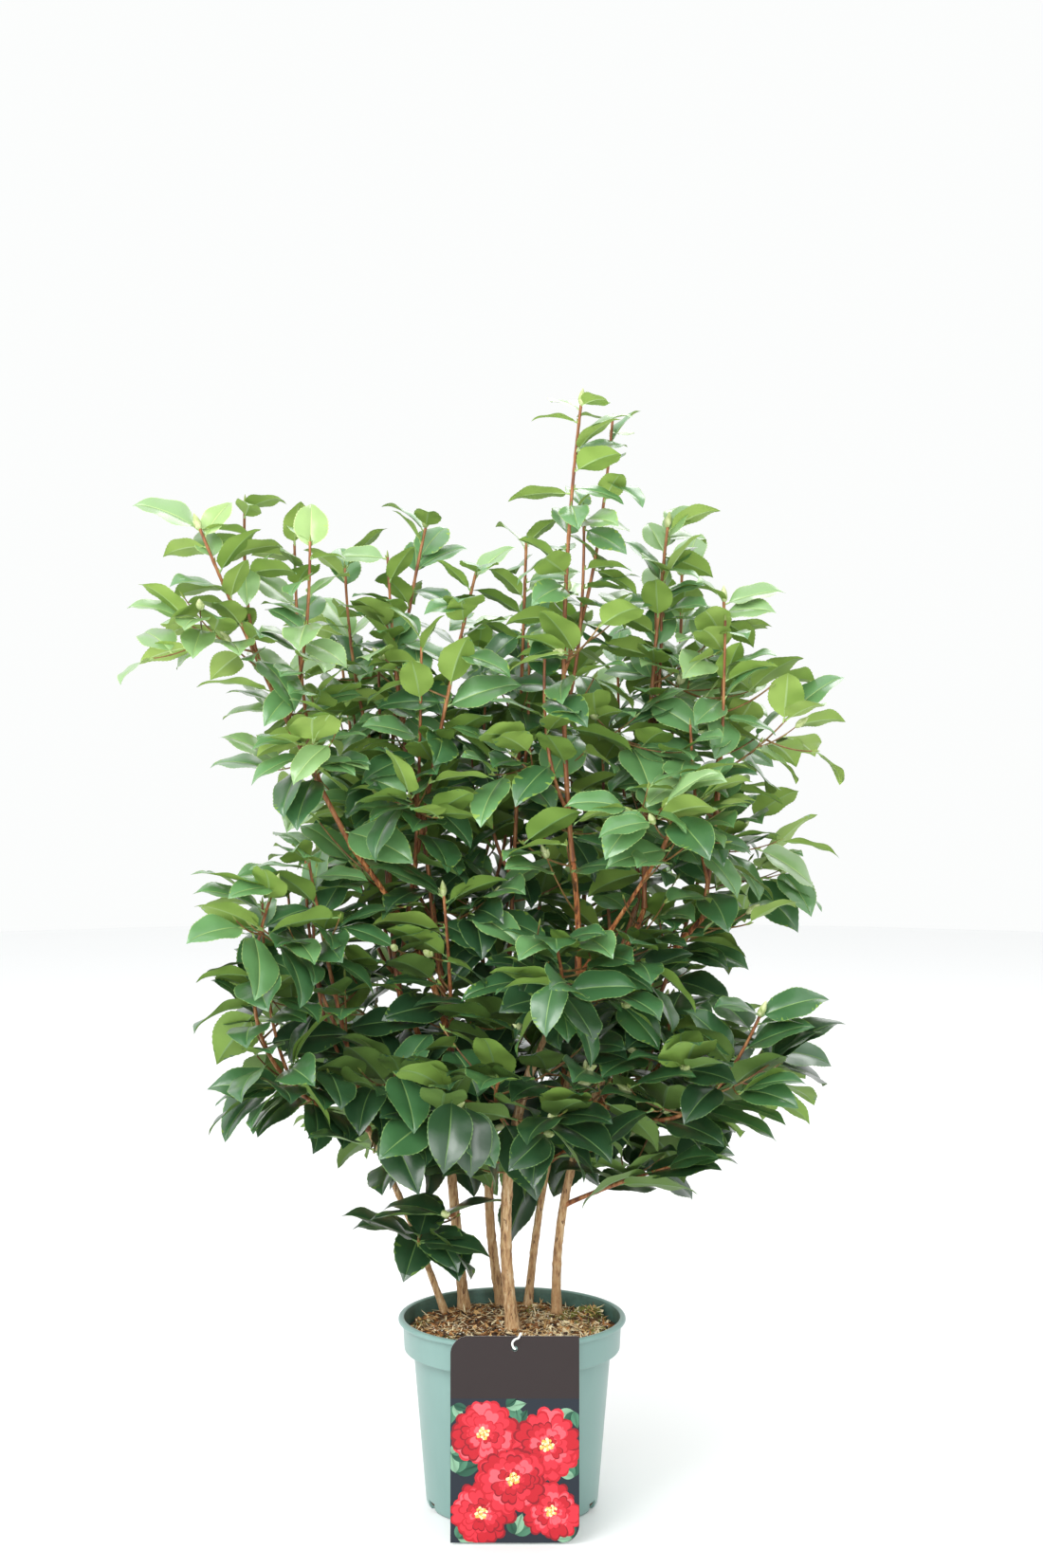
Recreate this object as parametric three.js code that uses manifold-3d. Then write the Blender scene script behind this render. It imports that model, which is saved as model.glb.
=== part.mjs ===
// A young camellia shrub in its round nursery pot, with a picture card hooked on the rim.
// Millimetres, +Z up. The origin is the middle of the pot's flat underside, and -Y is the front.
import * as THREE from "three";
import { mergeVertices } from "three/addons/utils/BufferGeometryUtils.js";
import Module from "manifold-3d";

const wasm = await Module();
wasm.setup();

// ---- Driving sizes ----

const air = 0.3; // left between pieces that touch
const grain = 1e-3; // corners closer than this count as one
const up = new THREE.Vector3(0, 0, 1);

const pot = {
  height: 187,
  lipRadius: 112.5,
  lipHeight: 5,
  collarRadius: 108,
  collarHeight: 28,
  shoulderRadius: 97.5,
  footRadius: 85,
  wall: 2.2,
  floor: 4,
  facets: 32,
  notches: 8, // drainage openings through the foot's edge
  notchWide: 15,
  notchHigh: 9,
  notchDeep: 5,
};

const mix = {
  top: 172, // height of the flat surface that the stems stand on
  humps: [
    { at: [76, 42], radius: 17, rise: 9 }, // moss
    { at: [-26, 30], radius: 24, rise: 5 },
    { at: [30, -52], radius: 30, rise: 5 },
    { at: [-68, -30], radius: 26, rise: 6 },
  ],
};

const card = { wide: 122, tall: 195, thick: 0.8, corner: 17, lean: 4.5, clear: 1.5, off: 3 };
const hook = { thick: 2, inside: 9, right: 5.5, left: 2.5, off: 0.8 };
const hole = { radius: 2.7, below: 12 };

// Stems stand on the mix. Each has its foot, the point half-way up, its tip, and the
// thickness at foot and tip.
const stems = {
  stem_centre: { foot: [1, 0], waist: [2, -5, 368], tip: [64, -20, 526], thick: [13, 8.5] },
  stem_left: { foot: [-49, 80], waist: [-58, 73, 272], tip: [-65, 60, 361], thick: [11.5, 9] },
  stem_front_left: { foot: [-68, 60], waist: [-103, 36, 274], tip: [-142, 10, 370], thick: [7.5, 5.5] },
  stem_right: { foot: [45, 55], waist: [54, 44, 300], tip: [94, 35, 424], thick: [10, 7.5] },
  stem_back_left: { foot: [-11, 93], waist: [-24, 91, 308], tip: [-8, 88, 440], thick: [10.5, 8] },
  stem_back_right: { foot: [16, 88], waist: [34, 95, 308], tip: [62, 100, 420], thick: [8.5, 6.5] },
};
// Root flare: the extra share of the radius, the height that it fades over, and how much
// closer the rings stand near the foot.
const flare = { gain: 0.42, fade: 11, ease: 1.4 };

// Boughs and leafy shoots leave the limb named in "from" at that share of its length.
const boughs = {
  bough_left_high: {
    from: ["stem_left", 1], waist: [-74, 22, 500], tip: [-154, -30, 652],
    thick: [7.5, 5],
  },
  bough_left_low: {
    from: ["stem_left", 1], waist: [-84, 50, 432], tip: [-113, 32, 506],
    thick: [7, 5.5],
  },
  bough_top: {
    from: ["stem_centre", 1], waist: [64, -26, 580], tip: [59, -32, 640],
    thick: [6.5, 5.2],
  },
  bough_centre_right: {
    from: ["stem_centre", 1], waist: [102, -4, 540], tip: [130, 8, 590],
    thick: [6, 5],
  },
  bough_centre_front: {
    from: ["stem_centre", 0.98], waist: [98, -44, 578], tip: [138, -74, 646],
    thick: [5, 3.6],
  },
  bough_front_right: {
    from: ["stem_centre", 0.71], waist: [62, -28, 408], tip: [103, -42, 397],
    thick: [5.5, 4.2],
  },
  bough_right: {
    from: ["stem_right", 1], waist: [136, 22, 512], tip: [188, 11, 580],
    thick: [6.5, 5.2],
  },
};

// Leafy shoots. "bare" is the share of the shoot below its first leaf, "twigs" how many side
// twigs it bears, "reach" their length, "face" the bearing of its top leaf, "dip" how far
// below level its leaves lean, in degrees, and "buds" how many tips end in a flower bud.
const shoots = {
  shoot_top: {
    from: ["bough_top", 1], waist: [50, -44, 850], tip: [66, -52, 1078],
    bare: 0.06, twigs: 2, reach: 60, face: 100, dip: -6, buds: 1, seed: 11,
  },
  shoot_left_long: {
    from: ["bough_left_high", 1], waist: [-232, -65, 815], tip: [-294, -80, 960],
    bare: 0.05, twigs: 3, reach: 70, face: 180, dip: 0, buds: 2, seed: 23,
  },
  shoot_far_left: {
    from: ["stem_front_left", 1], waist: [-240, -42, 465], tip: [-225, -80, 620],
    bare: 0.12, twigs: 2, reach: 80, face: 200, dip: 8, buds: 1, seed: 31,
  },
  shoot_left: {
    from: ["stem_front_left", 1], waist: [-172, -24, 510], tip: [-196, -40, 643],
    bare: 0.12, twigs: 3, reach: 80, face: 230, dip: 6, buds: 2, seed: 43,
  },
  shoot_left_inner: {
    from: ["bough_left_high", 0.35], waist: [-86, 18, 650], tip: [-122, -10, 870],
    bare: 0.16, twigs: 2, reach: 70, face: 250, dip: 2, buds: 1, seed: 53,
  },
  shoot_left_rear: {
    from: ["bough_left_low", 1], waist: [-120, 50, 730], tip: [-85, 54, 966],
    bare: 0.14, twigs: 3, reach: 75, face: 150, dip: 0, buds: 1, seed: 61,
  },
  shoot_centre_left: {
    from: ["bough_left_low", 1], waist: [-82, -20, 700], tip: [-34, -50, 918],
    bare: 0.16, twigs: 3, reach: 75, face: 40, dip: 2, buds: 0, seed: 71,
  },
  shoot_centre: {
    from: ["stem_back_left", 1], waist: [4, 46, 680], tip: [14, 10, 948],
    bare: 0.2, twigs: 3, reach: 75, face: 120, dip: 2, buds: 0, seed: 83,
  },
  shoot_right_inner: {
    from: ["bough_centre_right", 1], waist: [135, 16, 770], tip: [153, 30, 965],
    bare: 0.1, twigs: 3, reach: 75, face: 20, dip: 0, buds: 1, seed: 97,
  },
  shoot_right: {
    from: ["bough_right", 1], waist: [203, 8, 735], tip: [206, 0, 892],
    bare: 0.08, twigs: 4, reach: 85, face: 0, dip: 2, buds: 1, seed: 103,
  },
  shoot_right_rear: {
    from: ["stem_back_right", 1], waist: [146, 112, 660], tip: [172, 120, 920],
    bare: 0.22, twigs: 3, reach: 80, face: 60, dip: 0, buds: 1, seed: 113,
  },
  shoot_back_left_inner: {
    from: ["stem_back_left", 0.94], waist: [-40, 128, 640], tip: [-30, 146, 868],
    bare: 0.2, twigs: 3, reach: 80, face: 90, dip: 0, buds: 0, seed: 127,
  },
  shoot_back_left: {
    from: ["stem_left", 0.79], waist: [-132, 130, 560], tip: [-178, 150, 850],
    bare: 0.22, twigs: 4, reach: 85, face: 140, dip: 2, buds: 1, seed: 131,
  },
  shoot_back: {
    from: ["stem_back_right", 0.85], waist: [62, 186, 600], tip: [58, 210, 905],
    bare: 0.22, twigs: 4, reach: 85, face: 80, dip: 0, buds: 1, seed: 149,
  },
  shoot_back_right: {
    from: ["stem_right", 0.84], waist: [176, 104, 560], tip: [214, 134, 800],
    bare: 0.22, twigs: 4, reach: 85, face: 30, dip: 2, buds: 1, seed: 157,
  },
  spray_centre_front: {
    from: ["bough_centre_front", 1], waist: [150, -86, 676], tip: [158, -96, 720],
    bare: 0.1, twigs: 2, reach: 55, face: 330, dip: 2, buds: 1, seed: 163,
  },
  spray_front_right: {
    from: ["bough_front_right", 1], waist: [176, -66, 406], tip: [236, -90, 500],
    bare: 0.1, twigs: 3, reach: 70, face: 350, dip: 18, buds: 2, seed: 173,
  },
  spray_low_right: {
    from: ["stem_right", 0.56], waist: [106, 20, 314], tip: [160, -2, 336],
    bare: 0.3, twigs: 1, reach: 55, face: 350, dip: 24, buds: 0, seed: 181,
  },
  spray_low_left: {
    from: ["stem_left", 0.61], waist: [-84, 20, 270], tip: [-92, -14, 262],
    bare: 0.3, twigs: 1, reach: 50, face: 215, dip: 38, buds: 0, seed: 191,
  },
  spray_inner_left: {
    from: ["bough_left_high", 0.2], waist: [-60, -2, 500], tip: [-66, -32, 608],
    bare: 0.15, twigs: 2, reach: 60, face: 270, dip: 10, buds: 2, seed: 199,
  },
  skirt_left: {
    from: ["stem_left", 0.9], waist: [-104, 2, 392], tip: [-112, -52, 440],
    bare: 0.3, twigs: 4, reach: 85, face: 260, dip: 26, buds: 0, seed: 211,
  },
  skirt_centre: {
    from: ["stem_centre", 0.61], waist: [-14, -58, 404], tip: [-12, -112, 440],
    bare: 0.28, twigs: 4, reach: 80, face: 250, dip: 32, buds: 0, seed: 223,
  },
  skirt_front: {
    from: ["stem_centre", 0.88], waist: [48, -76, 520], tip: [40, -118, 574],
    bare: 0.25, twigs: 4, reach: 85, face: 280, dip: 24, buds: 1, seed: 227,
  },
  skirt_right: {
    from: ["stem_right", 0.93], waist: [136, -18, 430], tip: [150, -62, 486],
    bare: 0.28, twigs: 4, reach: 85, face: 300, dip: 28, buds: 0, seed: 233,
  },
  skirt_right_back: {
    from: ["stem_back_right", 0.65], waist: [120, 128, 378], tip: [170, 138, 450],
    bare: 0.26, twigs: 4, reach: 85, face: 40, dip: 26, buds: 0, seed: 241,
  },
  skirt_back: {
    from: ["stem_back_right", 0.42], waist: [28, 158, 344], tip: [20, 186, 430],
    bare: 0.28, twigs: 4, reach: 85, face: 90, dip: 26, buds: 0, seed: 251,
  },
  skirt_left_back: {
    from: ["stem_back_left", 0.65], waist: [-94, 140, 376], tip: [-140, 150, 470],
    bare: 0.28, twigs: 4, reach: 85, face: 150, dip: 26, buds: 0, seed: 257,
  },
};

const shoot = {
  thick: [4.6, 2.4], // at its foot and tip
  between: 38, // along a shoot from leaf to leaf
  runs: 6, // straight runs that make up its length
};

// Side twigs stand from just above the bare part of a shoot up to the share "top" of it.
const twig = {
  thick: [2.4, 1.7],
  between: 34,
  runs: 2,
  bare: 0.34, // share of the twig below its first leaf
  above: 0.05,
  top: 0.78,
  climb: [12, 42], // degrees above level
  reach: [0.75, 1.1], // of the reach that the shoot gives
  sag: 0.06, // of the twig's length
  lead: 60, // first twig's bearing past the shoot's face
  turn: 137.5, // from each twig round to the next
  spread: 30,
  swing: 40, // moved round at each further try
};

// Leaves are longest low down and shortest at the top. Angles are in degrees.
const leaf = {
  long: [90, 60],
  heights: [260, 1050],
  slim: [0.57, 0.54], // width as a share of the length
  longer: [0.84, 1.12], // each leaf's own share of that length, and of that width
  wider: [0.92, 1.08],
  turn: 144, // from each leaf round to the next
  spread: 20, // either way
  swing: 38, // moved round at each further try
  climb: [-26, 38], // above level
  topClimb: [18, 55], // the last two of a shoot
  roll: 42, // either way
  bend: [18, 46], // how far the blade arches down
  shoulders: [0.27, 0.6], // shares of the length where the blade is wide
  shoulderWidth: 0.88, // of the half width
  ridge: 0.465, // share of the length where it is thickest
  thick: 0.02, // of the length, on a flat blade
  archThick: 0.042, // added for each radian of arch, so the ridge stays above the underside
  last: 0.985, // share of the limb where the last one stands
  clear: 0.5, // kept from every other leaf and limb
};
const tries = 6; // places tried for a leaf or twig before it is left out
const bud = { long: 13, thick: 7, point: 0.3, shape: [-0.2, 0.45, 1] };

const paint = {
  pot: { color: 0x2f6b56, roughness: 0.45 },
  mix: { color: 0x5b4130, roughness: 0.95 },
  bark: { color: 0x9a7451, roughness: 0.85 },
  shoot: { color: 0x2c5c2b, roughness: 0.4 },
  card: { color: 0x8c2430, roughness: 0.35 },
  hook: { color: 0xf2f2ee, roughness: 0.4 },
};

// ---- Solids ----

const at = (x, y, z) => new THREE.Vector3(x, y, z);
const blend = (a, b, share) => a + (b - a) * share;
const among = ([a, b], share) => blend(a, b, share);
const turned = (degrees) => THREE.MathUtils.degToRad(degrees);

// A closed three.js geometry as a solid, whichever way its faces wind.
function solidOf(geometry) {
  const bare = geometry.clone();
  bare.deleteAttribute("normal");
  bare.deleteAttribute("uv");
  const merged = mergeVertices(bare, 1e-4);
  const source = merged.index.array;
  const kept = [];
  for (let i = 0; i < source.length; i += 3) {
    const [a, b, c] = source.subarray(i, i + 3);
    if (a !== b && b !== c && c !== a) kept.push(a, b, c);
  }
  const vertProperties = merged.attributes.position.array;
  const build = (list) =>
    new wasm.Manifold(
      new wasm.Mesh({ numProp: 3, vertProperties, triVerts: new Uint32Array(list) }),
    );
  const solid = build(kept);
  return solid.volume() > 0 ? solid : build(kept.reverse());
}

// The largest body of a solid, so that loose scraps drop out.
function largest(solid) {
  const bodies = solid.decompose();
  return bodies.sort((a, b) => b.volume() - a.volume())[0];
}

// Whether each edge still has two faces once the corners are rounded to the grain.
function isSound(solid) {
  const { vertProperties, triVerts } = solid.getMesh();
  const corner = (i) =>
    Array.from(vertProperties.subarray(3 * i, 3 * i + 3), (x) => Math.round(x / grain)).join();
  const faces = new Map();
  for (let i = 0; i < triVerts.length; i += 3) {
    const corners = Array.from(triVerts.subarray(i, i + 3), corner);
    if (new Set(corners).size < 3) continue;
    corners.forEach((a, k) => {
      const edge = [a, corners[(k + 1) % 3]].sort().join(" ");
      faces.set(edge, (faces.get(edge) ?? 0) + 1);
    });
  }
  return [...faces.values()].every((count) => count === 2);
}

function meshOf(name, solid, look) {
  const cut = solid.getMesh();
  const geometry = new THREE.BufferGeometry();
  geometry.setAttribute("position", new THREE.BufferAttribute(cut.vertProperties, 3));
  geometry.setIndex(new THREE.BufferAttribute(cut.triVerts, 1));
  geometry.computeVertexNormals();
  const mesh = new THREE.Mesh(
    geometry,
    new THREE.MeshStandardMaterial({ ...look, metalness: 0, flatShading: true }),
  );
  mesh.name = name;
  return mesh;
}

// A profile of [radius, height] pairs turned about the Z axis.
function lathe(profile) {
  const points = profile.map(([r, z]) => new THREE.Vector2(r, z));
  return solidOf(new THREE.LatheGeometry(points, pot.facets).rotateX(Math.PI / 2));
}

// A closed tube along points, with its own radius at each. Its first face is level
// where "level" is set.
function tube(points, radii, sides, level = false) {
  const positions = [];
  const tangents = points.map((p, i) => {
    const before = points[Math.max(i - 1, 0)];
    const after = points[Math.min(i + 1, points.length - 1)];
    return after.clone().sub(before).normalize();
  });
  if (level) tangents[0] = up.clone();
  let side = at(1, 0, 0);
  points.forEach((p, i) => {
    side = side.clone().addScaledVector(tangents[i], -side.dot(tangents[i])).normalize();
    const other = tangents[i].clone().cross(side);
    for (let k = 0; k < sides; k++) {
      const angle = (2 * Math.PI * k) / sides;
      const ring = p.clone().addScaledVector(side, radii[i] * Math.cos(angle));
      positions.push(...ring.addScaledVector(other, radii[i] * Math.sin(angle)).toArray());
    }
  });
  const index = [];
  for (let i = 0; i + 1 < points.length; i++) {
    for (let k = 0; k < sides; k++) {
      const a = i * sides + k;
      const b = i * sides + ((k + 1) % sides);
      index.push(a, b, b + sides, a, b + sides, a + sides);
    }
  }
  const last = (points.length - 1) * sides;
  for (let k = 1; k + 1 < sides; k++) {
    index.push(0, k + 1, k, last, last + k, last + k + 1);
  }
  const geometry = new THREE.BufferGeometry();
  geometry.setAttribute("position", new THREE.Float32BufferAttribute(positions, 3));
  geometry.setIndex(index);
  return solidOf(geometry);
}

// ---- Limbs ----

// A limb's line: a parabola through its foot, its waist and its tip.
function line(foot, waist, tip) {
  const pull = waist.clone().multiplyScalar(2).addScaledVector(foot, -0.5);
  pull.addScaledVector(tip, -0.5);
  return (t) =>
    foot
      .clone()
      .multiplyScalar((1 - t) * (1 - t))
      .addScaledVector(pull, 2 * t * (1 - t))
      .addScaledVector(tip, t * t);
}

function samples(path, steps) {
  return Array.from({ length: steps + 1 }, (_, i) => path(i / steps));
}

// The straight runs between points, as a line of its own.
function chords(points) {
  const runs = points.length - 1;
  return (t) => {
    const i = Math.min(Math.floor(t * runs), runs - 1);
    return points[i].clone().lerp(points[i + 1], t * runs - i);
  };
}

function lengthOf(path) {
  const points = samples(path, 24);
  return points.slice(1).reduce((sum, p, i) => sum + p.distanceTo(points[i]), 0);
}

// A tapering limb, and the space it fills grown by the air that others leave round it.
function limb(path, thick, sides, steps, foot = false) {
  const points = samples(path, steps);
  const radii = points.map((p, i) => {
    const above = p.distanceTo(points[0]);
    const swell = foot ? flare.gain * Math.exp(-above / flare.fade) : 0;
    return (among(thick, i / steps) / 2) * (1 + swell);
  });
  const grownPoints = points.map((p) => p.clone());
  const ends = [
    [0, 1],
    [steps, steps - 1],
  ];
  for (const [end, inner] of ends) {
    const outward = points[end].clone().sub(points[inner]).normalize();
    grownPoints[end].addScaledVector(outward, air);
  }
  const roundness = Math.cos(Math.PI / sides);
  return {
    path: chords(points),
    solid: tube(points, radii, sides, foot),
    grown: tube(
      grownPoints,
      radii.map((r) => r + air / roundness),
      sides,
      foot,
    ),
  };
}

// Everything already in place, which a new leaf or twig has to keep clear of.
const placed = [];

function place(solid, owner) {
  placed.push({ solid, owner, box: solid.boundingBox() });
}

function near(a, b, margin) {
  return [0, 1, 2].every((i) => a.min[i] - margin < b.max[i] && b.min[i] - margin < a.max[i]);
}

function isClear(solid, holder) {
  const box = solid.boundingBox();
  return placed.every(
    (other) =>
      other.owner === holder ||
      !near(box, other.box, leaf.clear) ||
      solid.minGap(other.solid, leaf.clear) >= leaf.clear,
  );
}

const limbs = {};

// A limb that grows from another is cut clear of it, and of the others that start there.
function growFrom(parts, thick, sides, steps) {
  const [parent, share] = parts.from;
  const path = line(limbs[parent].path(share), at(...parts.waist), at(...parts.tip));
  const grown = limb(path, thick, sides, steps);
  const neighbours = [limbs[parent], ...limbs[parent].children];
  for (const neighbour of neighbours) {
    grown.solid = largest(grown.solid.subtract(neighbour.grown));
  }
  limbs[parent].children.push(grown);
  grown.children = [];
  return grown;
}

// ---- Leafy shoots ----

// The minimal standard random numbers, from 0 to 1.
function draws(seed) {
  let state = seed;
  const next = () => {
    state = (state * 16807) % 2147483647;
    return state / 2147483647;
  };
  next();
  next();
  return next;
}

// A blade that starts at "root" and arches down along its bearing: an outline of six points,
// flat strips below it and a ridge point on top.
function bladeOf(root, bearing, climb, roll, long, slim, bend) {
  const ahead = at(
    Math.cos(climb) * Math.cos(bearing),
    Math.cos(climb) * Math.sin(bearing),
    Math.sin(climb),
  );
  const level = ahead.clone().cross(up).normalize();
  const flatUp = level.clone().cross(ahead);
  const side = level.clone().multiplyScalar(Math.cos(roll)).addScaledVector(flatUp, Math.sin(roll));
  const top = side.clone().cross(ahead);
  const spot = (share, across, lift) => {
    const angle = bend * share;
    return root
      .clone()
      .addScaledVector(ahead, (long * Math.sin(angle)) / bend)
      .addScaledVector(top, (-long * (1 - Math.cos(angle))) / bend + lift)
      .addScaledVector(side, across);
  };
  const half = (long * slim * leaf.shoulderWidth) / 2;
  const [low, high] = leaf.shoulders;
  const points = [
    spot(0, 0, 0),
    spot(low, half, 0),
    spot(high, half, 0),
    spot(1, 0, 0),
    spot(high, -half, 0),
    spot(low, -half, 0),
    spot(leaf.ridge, 0, long * (leaf.thick + leaf.archThick * bend)),
  ];
  const index = [0, 5, 1, 1, 5, 4, 1, 4, 2, 2, 4, 3];
  for (let i = 0; i < 6; i++) index.push(i, (i + 1) % 6, 6);
  const geometry = new THREE.BufferGeometry();
  const positions = points.flatMap((p) => p.toArray());
  geometry.setAttribute("position", new THREE.Float32BufferAttribute(positions, 3));
  geometry.setIndex(index);
  return solidOf(geometry);
}

// The rule for one leaf: its bearing, climb, roll, length and arch from its own seed.
function leafTry(root, bearing, dip, seed, attempt, atTip) {
  const random = draws(seed * 64 + attempt + 1);
  const share = THREE.MathUtils.clamp(
    (root.z - leaf.heights[0]) / (leaf.heights[1] - leaf.heights[0]),
    0,
    1,
  );
  const swing = attempt * (attempt % 2 ? leaf.swing : -leaf.swing);
  const climb = atTip ? among(leaf.topClimb, random()) : among(leaf.climb, random()) - dip;
  return bladeOf(
    root,
    turned(bearing + swing + blend(-leaf.spread, leaf.spread, random())),
    turned(climb),
    turned(blend(-leaf.roll, leaf.roll, random())),
    among(leaf.long, share) * among(leaf.longer, random()),
    among(leaf.slim, share) * among(leaf.wider, random()),
    turned(among(leaf.bend, random())),
  );
}

// Leaves along a line, from the share "bare" to its tip, added where there is room.
function leavesAlong(limbOf, bare, between, start, dip, seed, pieces) {
  const { path, solid, holder } = limbOf;
  const long = lengthOf(path);
  const count = Math.max(1, Math.round((long * (1 - bare)) / between));
  for (let i = 0; i <= count; i++) {
    const root = path(blend(bare, leaf.last, i / count));
    const atTip = i >= count - 1;
    const bearing = start + (i - count) * leaf.turn;
    for (let attempt = 0; attempt < tries; attempt++) {
      const blade = leafTry(root, bearing, dip, seed * 64 + i, attempt, atTip);
      if (isClear(blade, holder) && isSound(solid.add(blade))) {
        place(blade, "leaf");
        pieces.push(blade);
        break;
      }
    }
  }
}

function budAt(path) {
  const tip = path(1);
  const ahead = tip.clone().sub(path(0.95)).normalize();
  const points = bud.shape.map((share) => tip.clone().addScaledVector(ahead, share * bud.long));
  return tube(points, [bud.point, bud.thick / 2, bud.point], 4);
}

// The rule for one side twig, at its next try.
function twigTry(parts, foot, number, attempt, random) {
  const round = number * twig.turn + attempt * twig.swing + twig.spread * random();
  const bearing = parts.face + twig.lead + round;
  const long = parts.reach * among(twig.reach, random());
  const climb = turned(among(twig.climb, random()) - parts.dip / 2);
  const out = long * Math.cos(climb);
  const ahead = at(out * Math.cos(turned(bearing)), out * Math.sin(turned(bearing)), 0);
  const tip = foot.clone().add(ahead).addScaledVector(up, long * Math.sin(climb));
  const waist = foot.clone().lerp(tip, 0.5).addScaledVector(up, -twig.sag * long);
  return { bearing, ...limb(line(foot, waist, tip), twig.thick, 3, twig.runs) };
}

// A leafy shoot: its own stem, side twigs spaced along it, leaves on all of them, and buds.
function leafyShoot(name, parts) {
  const stem = { ...limbs[name], holder: name };
  const pieces = [stem.solid];
  const twigs = [];
  for (let number = 0; number < parts.twigs; number++) {
    const random = draws(parts.seed * 4096 + number + 1);
    const along = (number + 0.5 * random()) / parts.twigs;
    const foot = stem.path(blend(parts.bare + twig.above, twig.top, along));
    for (let attempt = 0; attempt < tries; attempt++) {
      const made = twigTry(parts, foot, number, attempt, random);
      if (isClear(made.solid, name) && isSound(stem.solid.add(made.solid))) {
        twigs.push({ ...made, holder: name + number, seed: parts.seed * 8 + number + 1 });
        place(made.solid, name + number);
        pieces.push(made.solid);
        break;
      }
    }
  }
  leavesAlong(stem, parts.bare, shoot.between, parts.face, parts.dip, parts.seed * 8, pieces);
  for (const side of twigs) {
    leavesAlong(side, twig.bare, twig.between, side.bearing, parts.dip, side.seed, pieces);
  }
  for (const { path, solid, holder } of [stem, ...twigs].slice(0, parts.buds)) {
    const made = budAt(path);
    if (isClear(made, holder) && isSound(solid.add(made))) pieces.push(made);
  }
  return wasm.Manifold.union(pieces);
}

// ---- Pot, mix, card and hook ----

const ledge = pot.height - pot.lipHeight - pot.collarHeight;
const collarInner = pot.collarRadius - pot.wall;
const shoulderInner = pot.shoulderRadius - pot.wall;
const footInner = pot.footRadius - pot.wall;

function potSolid() {
  const body = lathe([
    [0, 0],
    [pot.footRadius, 0],
    [pot.shoulderRadius, ledge],
    [pot.collarRadius, ledge],
    [pot.collarRadius, pot.height - pot.lipHeight],
    [pot.lipRadius, pot.height - pot.lipHeight],
    [pot.lipRadius, pot.height],
    [collarInner, pot.height],
    [collarInner, ledge + pot.wall],
    [shoulderInner, ledge + pot.wall],
    [footInner, pot.floor],
    [0, pot.floor],
  ]);
  const cutters = [];
  for (let i = 0; i < pot.notches; i++) {
    const block = new THREE.BoxGeometry(pot.notchDeep * 2, pot.notchWide, pot.notchHigh * 2);
    const angle = (2 * Math.PI * (i + 0.5)) / pot.notches;
    block.translate(pot.footRadius, 0, 0).rotateZ(angle);
    cutters.push(solidOf(block));
  }
  return body.subtract(wasm.Manifold.union(cutters));
}

function mixSolid() {
  const body = lathe([
    [0, pot.floor + air],
    [footInner - air, pot.floor + air],
    [shoulderInner - air, ledge + pot.wall + air],
    [collarInner - air, ledge + pot.wall + air],
    [collarInner - air, mix.top],
    [0, mix.top],
  ]);
  const humps = mix.humps.map(({ at: [x, y], radius, rise }) =>
    solidOf(
      new THREE.SphereGeometry(1, 10, 6)
        .rotateX(Math.PI / 2)
        .scale(radius, radius, rise)
        .translate(x, y, mix.top),
    ),
  );
  return wasm.Manifold.union([body, ...humps]);
}

// The card's own plane: X across, Y up from its lower edge. Two opposite corners are round.
function cardSolid() {
  const { wide, tall, corner } = card;
  const outline = new THREE.Shape();
  outline.moveTo(-wide / 2, 0);
  outline.lineTo(wide / 2 - corner, 0);
  outline.absarc(wide / 2 - corner, corner, corner, -Math.PI / 2, 0, false);
  outline.lineTo(wide / 2, tall);
  outline.lineTo(-wide / 2 + corner, tall);
  outline.absarc(-wide / 2 + corner, tall - corner, corner, Math.PI / 2, Math.PI, false);
  const eye = new THREE.Path();
  eye.absarc(0, tall - hole.below, hole.radius, 0, 2 * Math.PI, true);
  outline.holes.push(eye);
  const sheet = new THREE.ExtrudeGeometry(outline, {
    depth: card.thick,
    bevelEnabled: false,
    curveSegments: 6,
  });
  return sheet.rotateX(Math.PI / 2);
}

const leanAngle = turned(card.lean);
const cardTouch = -pot.lipRadius - air; // the card's back passes the lip's upper edge here

// The card's front face at a height.
const cardFront = (z) => cardTouch + (z - pot.height) * Math.tan(leanAngle) - card.thick / Math.cos(leanAngle);
const onHeight = (distance) => card.clear + distance * Math.cos(leanAngle);

function placedCard() {
  const reach = (pot.height - card.clear) * Math.tan(leanAngle);
  const sheet = cardSolid().rotateX(-leanAngle);
  return solidOf(sheet.translate(card.off, cardTouch - reach, card.clear));
}

// From inside the pot over its lip, up behind the card, over the card's edge and down to the hole.
function hookSolid() {
  const radius = hook.thick / 2;
  const gap = radius + air;
  const inner = 2 * gap - air - collarInner;
  const edge = onHeight(card.tall);
  const eye = onHeight(card.tall - hole.below);
  const right = card.off + hook.right;
  const curve = new THREE.CatmullRomCurve3([
    at(right, inner, pot.height - hook.inside),
    at(right, inner, pot.height - 1),
    at(right, inner - 2.5, pot.height + gap + 1.2),
    at(right, cardFront(edge) + card.thick + gap + 1.8, edge - 3),
    at(right, cardFront(edge) + card.thick / 2, edge + gap + 1.2),
    at(right - 3, cardFront(edge) - gap - 1.4, edge - 1.5),
    at(card.off - hook.left, cardFront(edge) - gap - 1, edge - 6),
    at(card.off + hook.off, cardFront(eye) - gap - 0.3, eye),
  ]);
  const points = curve.getPoints(14);
  return tube(points, Array(points.length).fill(radius), 5);
}

// ---- The whole plant ----

const plant = new THREE.Group();
plant.name = "camellia_shrub";

const fixtures = [
  ["pot", potSolid(), paint.pot],
  ["potting_mix", mixSolid(), paint.mix],
  ["label_card", placedCard(), paint.card],
  ["label_hook", hookSolid(), paint.hook],
];
for (const [name, solid, look] of fixtures) {
  place(solid, name);
  plant.add(meshOf(name, solid, look));
}

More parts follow.
